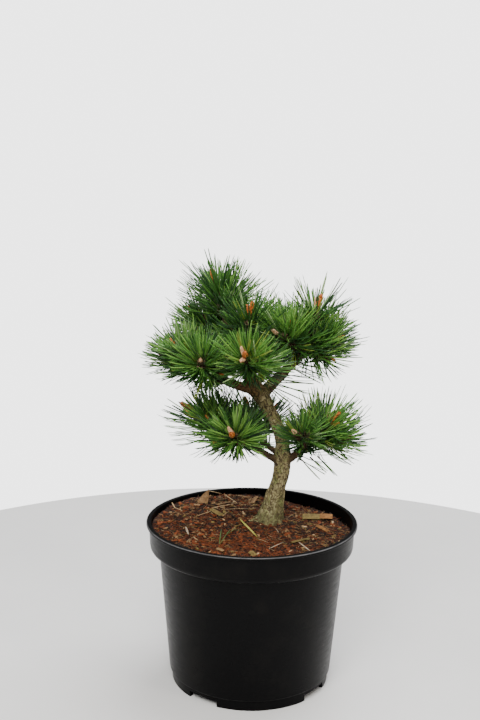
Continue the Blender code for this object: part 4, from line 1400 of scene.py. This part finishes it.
def plates(centres, axes, lengths, widths, depths, rng):
    """Return the vertices, sides and flat faces of thin chips."""
    alongs, acrosses, ups = (axis[:, None] for axis in axes)
    count = len(centres)
    shape = (count, CHIP_CORNERS)
    around = np.arange(CHIP_CORNERS)
    turns = (around + rng.uniform(-CHIP_JITTER, CHIP_JITTER, shape)) * tau / CHIP_CORNERS
    radii = rng.uniform(CHIP_NARROWEST, 1.0, shape) / 2
    x = (np.cos(turns) * radii * lengths[:, None])[..., None]
    y = (np.sin(turns) * radii * widths[:, None])[..., None]
    flat = centres[:, None] + alongs * x + acrosses * y
    bows = rng.uniform(-CHIP_BOW, CHIP_BOW, (*shape, 1)) * depths[:, None, None]
    tops = flat + ups * (depths[:, None, None] / 2 + bows)
    bottoms = flat - ups * (depths[:, None, None] / 2 - bows)
    verts = np.concatenate([bottoms, tops], axis=1).reshape(-1, 3)
    bases = np.arange(count)[:, None, None] * 2 * CHIP_CORNERS
    side_faces = (bases + side_quads(CHIP_CORNERS)).reshape(-1, 4)
    flat_faces = (bases + np.array([around[::-1], around + CHIP_CORNERS])).reshape(-1, CHIP_CORNERS)
    return verts, side_faces, flat_faces


def mulch_tones(places, rng):
    """Return the number of a tone for each place, drawn by the shares of the zones near it."""
    weights = np.full((len(places), 1), ZONE_BACKGROUND) * np.array(MULCH_SHARES)
    for zone in ZONES:
        distances = np.linalg.norm(places[:, :2] - np.array(zone.place) * MM, axis=1) / (zone.radius * MM)
        weights += np.exp(-distances ** 2)[:, None] * np.array(zone.shares)
    totals = np.cumsum(weights, axis=1)
    draws = rng.random(len(places)) * totals[:, -1]
    return (draws[:, None] > totals).sum(axis=1)


def make_chips(materials):
    """Strew chips of bark over the bed, few of them long."""
    rng, places, lengths = strewn(CHIP_SEED, CHIP_COUNT, CHIP_REACH, CHIP_LENGTHS, CHIP_POWER)
    widths = lengths * rng.uniform(*CHIP_WIDTHS, CHIP_COUNT)
    depths = lengths * rng.uniform(*CHIP_DEPTHS, CHIP_COUNT)
    places[:, 2] += depths / 2 + rng.uniform(*CHIP_LIFTS, CHIP_COUNT) * MM
    axes = lying_axes(CHIP_COUNT, CHIP_TILT, rng)
    verts, sides, flats = plates(places, axes, lengths, widths, depths, rng)
    tones = mulch_tones(places, rng)
    index = np.concatenate([np.repeat(tones, CHIP_CORNERS), np.repeat(tones, 2)])
    mesh = mesh_from_arrays("bark_chips", verts, [sides, flats], index, smooth=False)
    add_piece("bark_chips", mesh, materials, ["soil"])


def room_for_fibres(places, alongs, bends, lengths):
    """Return the share of its length that keeps each fibre inside the pot's wall."""
    wall = pot_inside(FIBRE_WIDEST, SOIL_LEVEL)[-1][0]
    ends = (places - alongs * lengths[:, None] / 2, places + (alongs / 2 + bends) * lengths[:, None])
    furthest = np.maximum(*(np.linalg.norm(end[:, :2], axis=1) for end in ends))
    middle = np.linalg.norm(places[:, :2], axis=1)
    return np.where(furthest > wall, (wall - middle) / np.maximum(furthest - middle, MM), 1.0)


def make_fibres(materials):
    """Strew curved fibres of bark over the bed."""
    rng, places, lengths = strewn(FIBRE_SEED, FIBRE_COUNT, FIBRE_REACH, FIBRE_LENGTHS, FIBRE_POWER)
    widths = rng.uniform(FIBRE_THINNEST, FIBRE_WIDEST, FIBRE_COUNT)
    places[:, 2] += rng.uniform(*FIBRE_LIFTS, FIBRE_COUNT) * MM
    alongs, acrosses, ups = lying_axes(FIBRE_COUNT, FIBRE_TILT, rng)
    bends = acrosses * rng.normal(0.0, FIBRE_CURVE, (FIBRE_COUNT, 1)) - ups * FIBRE_SAG
    lengths *= room_for_fibres(places, alongs, bends, lengths)
    roots = places - alongs * lengths[:, None] / 2
    verts, faces = strands(roots, alongs, bends, lengths, widths, FIBRE_OUTLINE, FIBRE_THICKNESS)
    tones = np.repeat(mulch_tones(places, rng), len(faces) // FIBRE_COUNT)
    mesh = mesh_from_arrays("bark_fibres", verts, [faces], tones)
    add_piece("bark_fibres", mesh, materials, ["soil"])


def on_bed(place):
    """Return a place given over the level bed, in millimetres, lifted with the heaped bed."""
    x, y, z = Vector(place) * MM
    return Vector((x, y, z + bed_rise(x, y)))


def make_litter(materials):
    """Lay the larger bits that catch the eye: wood chips, slivers, straws and fallen needles."""
    shapes = []
    tones = []
    for kind in LITTER:
        for start, end, width in kind.lines:
            start = on_bed(start)
            line = on_bed(end) - start
            row = (start, line.normalized(), kind.bend, line.length, width * MM)
            shapes.append(strands_of([row], kind.outline, kind.thickness))
            tones.append(kind.tone)
    mesh = toned_mesh("litter", shapes, tones)
    mesh.set_sharp_from_angle(angle=LITTER_SHARP_FROM)
    add_piece("litter", mesh, materials, ["soil"])


# Materials

def feed(tree, node, inputs):
    """Give a node's inputs their values, each a plain one or another node's socket."""
    for key, value in inputs.items():
        socket = node.inputs[key]
        if isinstance(value, bpy.types.NodeSocket):
            tree.links.new(value, socket)
        elif socket.type == "RGBA":
            socket.default_value = (*value, 1.0)
        else:
            socket.default_value = value


def add_node(tree, kind, inputs, **settings):
    """Return a new node of a kind, with its settings and its inputs."""
    node = tree.nodes.new("ShaderNode" + kind)
    for name, value in settings.items():
        setattr(node, name, value)
    feed(tree, node, inputs)
    return node


def start_material(name, colour, roughness):
    """Return a new material, its node tree and its shader."""
    material = bpy.data.materials.new(name)
    material.use_nodes = True
    tree = material.node_tree
    shader = tree.nodes["Principled BSDF"]
    feed(tree, shader, {"Base Color": colour, "Roughness": roughness})
    return material, tree, shader


def object_place(tree, stretch=(1.0, 1.0, 1.0)):
    """Return a place on the object in metres, stretched along each axis."""
    place = add_node(tree, "TexCoord", {}).outputs["Object"]
    return add_node(tree, "Mapping", {"Vector": place, "Scale": stretch}).outputs["Vector"]


def grain_noise(tree, place, grain):
    """Return noise with a grain size in metres, a detail and a roughness."""
    size, detail, roughness = grain
    inputs = {"Vector": place, "Scale": 1.0 / size, "Detail": detail, "Roughness": roughness}
    return add_node(tree, "TexNoise", inputs).outputs["Fac"]


def spread(tree, value, low, high, bottom=0.0, top=1.0):
    """Return a value spread from the range low to high onto the range bottom to top."""
    inputs = {"Value": value, "From Min": low, "From Max": high, "To Min": bottom, "To Max": top}
    return add_node(tree, "MapRange", inputs).outputs["Result"]


def patches(tree, place, look):
    """Return how far the patches of a look cover a place."""
    grain, span = look
    return spread(tree, grain_noise(tree, place, grain), *span)


def blend_colours(tree, share, first, second):
    """Return a colour that goes from the first to the second."""
    inputs = {"Factor": share, "A": first, "B": second}
    return add_node(tree, "Mix", inputs, data_type="RGBA").outputs["Result"]


def times(tree, first, second):
    """Return the product of two values."""
    return add_node(tree, "Math", {0: first, 1: second}, operation="MULTIPLY").outputs["Value"]


def bump(tree, height, depth):
    """Return a normal bumped by a height that stands for a depth in metres."""
    return add_node(tree, "Bump", {"Height": height, "Distance": depth}).outputs["Normal"]


def attribute(tree, name):
    """Return the value of a mesh attribute."""
    return add_node(tree, "Attribute", {}, attribute_name=name).outputs["Fac"]


def upright_part(tree, place):
    """Return the height of a place."""
    return add_node(tree, "SeparateXYZ", {"Vector": place}).outputs["Z"]


def pot_material():
    """Black moulded plastic: a soft gloss with fine scuffs, a little dust and a grey painted highlight along
    the lip's outer edge.
    """
    material, tree, shader = start_material("pot_plastic", POT_BLACK, POT_ROUGHNESS)
    place = object_place(tree)
    colour = blend_colours(tree, patches(tree, place, DUST), POT_BLACK, POT_DUST)
    feed(tree, shader, {
        "Specular IOR Level": POT_SPECULAR,
        # A grey painted highlight along the lip's outer edge
        "Base Color": blend_colours(tree, painted_lip_highlight(tree, place), colour, POT_LIP_HIGHLIGHT),
        "Roughness": patches(tree, object_place(tree, SCUFF_STRETCH), SCUFFS),
        "Normal": bump(tree, grain_noise(tree, place, MOULD_GRAIN), MOULD_DEPTH),
    })
    return material


def painted_lip_highlight(tree, place):
    """Return where the grey painted highlight lies: in patches along the outer edge of the lip."""
    high = spread(tree, upright_part(tree, place), POT_HEIGHT - LIP_HIGHLIGHT_DEPTH, POT_HEIGHT - LIP_HIGHLIGHT_DEPTH / 2)
    flat = add_node(tree, "VectorMath", {0: place, 1: (1.0, 1.0, 0.0)}, operation="MULTIPLY")
    radius = add_node(tree, "VectorMath", {0: flat.outputs["Vector"]}, operation="LENGTH").outputs["Value"]
    outer = spread(tree, radius, LIP_RADIUS - LIP_HIGHLIGHT_DEPTH, LIP_RADIUS - LIP_HIGHLIGHT_DEPTH / 2)
    return times(tree, times(tree, high, outer), patches(tree, place, LIP_HIGHLIGHT_PATCHES))


def mossy(tree, place):
    """Return how mossy the bark is: in patches, and most at the foot of the trunk."""
    low = spread(tree, upright_part(tree, place), SOIL_LEVEL + MOSS_HEIGHT, SOIL_LEVEL, 0.0, MOSS_COVER)
    return times(tree, low, patches(tree, place, MOSS_PATCHES))


def near_knob(tree, place):
    """Return how near a place is to the reddish knob at the fork."""
    middle = Vector(KNOB_PLACE) * MM
    distance = add_node(tree, "VectorMath", {0: place, 1: middle}, operation="DISTANCE").outputs["Value"]
    return spread(tree, distance, KNOB_RADIUS, KNOB_RADIUS / 2, 0.0, KNOB_COVER)


def bark_material(name, old, young):
    """Scaly bark: plates of several tones with dark cracks, greener and paler on old wood."""
    material, tree, shader = start_material(name, old[0], BARK_ROUGHNESS)
    place = object_place(tree)
    tone = spread(tree, attribute(tree, "tone"), *PLATE_TONES)
    fine = grain_noise(tree, place, BARK_FINE_GRAIN)
    old_plate = blend_colours(tree, tone, *old[:2])
    old_plate = blend_colours(tree, patches(tree, place, LICHEN), old_plate, old[2])
    age = spread(tree, attribute(tree, "age"), *OLD_AGES)
    plate = blend_colours(tree, age, blend_colours(tree, tone, *young), old_plate)
    plate = blend_colours(tree, near_knob(tree, place), plate, KNOB_COLOUR)
    plate = blend_colours(tree, mossy(tree, place), plate, MOSS)
    shade = spread(tree, attribute(tree, "plate"), *PLATE_SHARES)
    shade = times(tree, shade, spread(tree, fine, *BARK_FLAKES))
    feed(tree, shader, {
        "Base Color": blend_colours(tree, shade, BARK_CRACK, plate),
        "Roughness": spread(tree, fine, *BARK_GLOSS),
        "Normal": bump(tree, fine, BARK_FINE_DEPTH),
    })
    return material


def grainy_material(name, colours, size, roughness, depth):
    """A rough material whose colour goes unevenly from one colour to another."""
    material, tree, shader = start_material(name, colours[0], roughness)
    grain = grain_noise(tree, object_place(tree), (size, *CLUMP_DETAIL))
    colour = blend_colours(tree, spread(tree, grain, *CLUMPS), *colours)
    feed(tree, shader, {"Base Color": colour, "Normal": bump(tree, grain, depth)})
    return material


def needle_material(name, colour):
    """A waxy green of one tone: its gloss and its fine lines vary along the needles."""
    material, tree, shader = start_material(name, colour, NEEDLE_ROUGHNESS)
    lines = grain_noise(tree, object_place(tree), NEEDLE_GRAIN)
    feed(tree, shader, {
        "Specular IOR Level": NEEDLE_SPECULAR,
        "Roughness": spread(tree, lines, *NEEDLE_GLOSS),
        "Normal": bump(tree, lines, NEEDLE_LINE_DEPTH),
    })
    return material


def make_materials():
    """Return every material of the plant by name."""
    materials = {
        "pot_plastic": pot_material(),
        "bark": bark_material("bark", BARK_OLD, BARK_YOUNG),
        "twig": bark_material("twig_bark", TWIG_OLD, TWIG_YOUNG),
    }
    for name, *looks in GRAINY:
        materials[name] = grainy_material(name, *looks)
    for name, tone in TONES.items():
        materials["needles_" + name] = needle_material("needles_" + name, tone.colour)
    return materials


# Studio

def make_floor():
    """Make the round pale floor that the pot stands on."""
    sides = range(FLOOR_SEGMENTS)
    corners = [bearing(360.0 * side / FLOOR_SEGMENTS, 0.0) * FLOOR_RADIUS for side in sides]
    mesh = bpy.data.meshes.new("floor")
    mesh.from_pydata(corners, [], [sides])
    mesh.materials.append(grainy_material("floor_paint", *FLOOR_PAINT))
    new_object("floor", mesh)


def make_camera():
    """Set the camera where the photograph was taken from."""
    data = bpy.data.cameras.new("camera")
    data.lens = CAMERA_LENS
    camera = new_object("camera", data)
    look = Matrix.Rotation(pi / 2 - CAMERA_TILT, 4, "X") @ Matrix.Rotation(CAMERA_ROLL, 4, "Z")
    camera.matrix_world = Matrix.Translation(Vector(CAMERA_PLACE) * MM) @ look
    bpy.context.scene.camera = camera


def make_light(name, place, size, power, colour):
    """Hang a soft rectangular light that faces the plant."""
    data = bpy.data.lights.new(name, "AREA")
    data.shape = "RECTANGLE"
    data.size, data.size_y = size
    data.energy = power
    data.color = colour
    light = new_object(name, data)
    light.location = place
    facing = Vector(LIGHT_TARGET) - Vector(place)
    light.rotation_euler = facing.to_track_quat("-Z", "Y").to_euler()


def make_world():
    """Make white surroundings that light the plant from above more than from the sides."""
    world = bpy.data.worlds.new("studio")
    world.use_nodes = True
    tree = world.node_tree
    height = upright_part(tree, add_node(tree, "TexCoord", {}).outputs["Generated"])
    sky = spread(tree, height, HORIZON, 1.0, *SKY_STRENGTH)
    seen = add_node(tree, "LightPath", {}).outputs["Is Camera Ray"]
    strength = add_node(tree, "Mix", {"Factor": seen, "A": sky, "B": BACKDROP_STRENGTH}).outputs["Result"]
    feed(tree, tree.nodes["Background"], {"Color": (1.0, 1.0, 1.0), "Strength": strength})
    bpy.context.scene.world = world


def make_studio():
    """Make the floor, the camera, the lights and the white surroundings."""
    make_floor()
    make_camera()
    for light in LIGHTS:
        make_light(*light)
    make_world()


def make_plant():
    """Make every piece of the plant, its soil and its pot."""
    materials = make_materials()
    limbs = {"trunk": trunk_spine()}
    for name, bough in BOUGHS.items():
        limbs[name] = bough_spine(bough, limbs["trunk"])
    leafages = plan_leafage(limbs)
    make_pot(materials["pot_plastic"])
    make_bed(materials["bed"])
    mulch = [materials[name] for name in MULCH_TONES]
    make_chips(mulch)
    make_fibres(mulch)
    make_litter([materials[name] for name in LITTER_TONES])
    make_bark(limbs, materials["bark"])
    make_twigs(leafages, materials["twig"])
    make_foliage(leafages, limbs, materials)
    make_buds(leafages, [materials[name] for name in BUD_KINDS])


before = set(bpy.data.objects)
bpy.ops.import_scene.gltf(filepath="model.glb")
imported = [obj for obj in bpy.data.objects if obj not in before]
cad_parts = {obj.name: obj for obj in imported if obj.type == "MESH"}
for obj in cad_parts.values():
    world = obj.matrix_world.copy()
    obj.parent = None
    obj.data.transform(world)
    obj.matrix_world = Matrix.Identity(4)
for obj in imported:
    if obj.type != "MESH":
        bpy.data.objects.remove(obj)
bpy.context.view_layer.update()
make_studio()
make_plant()
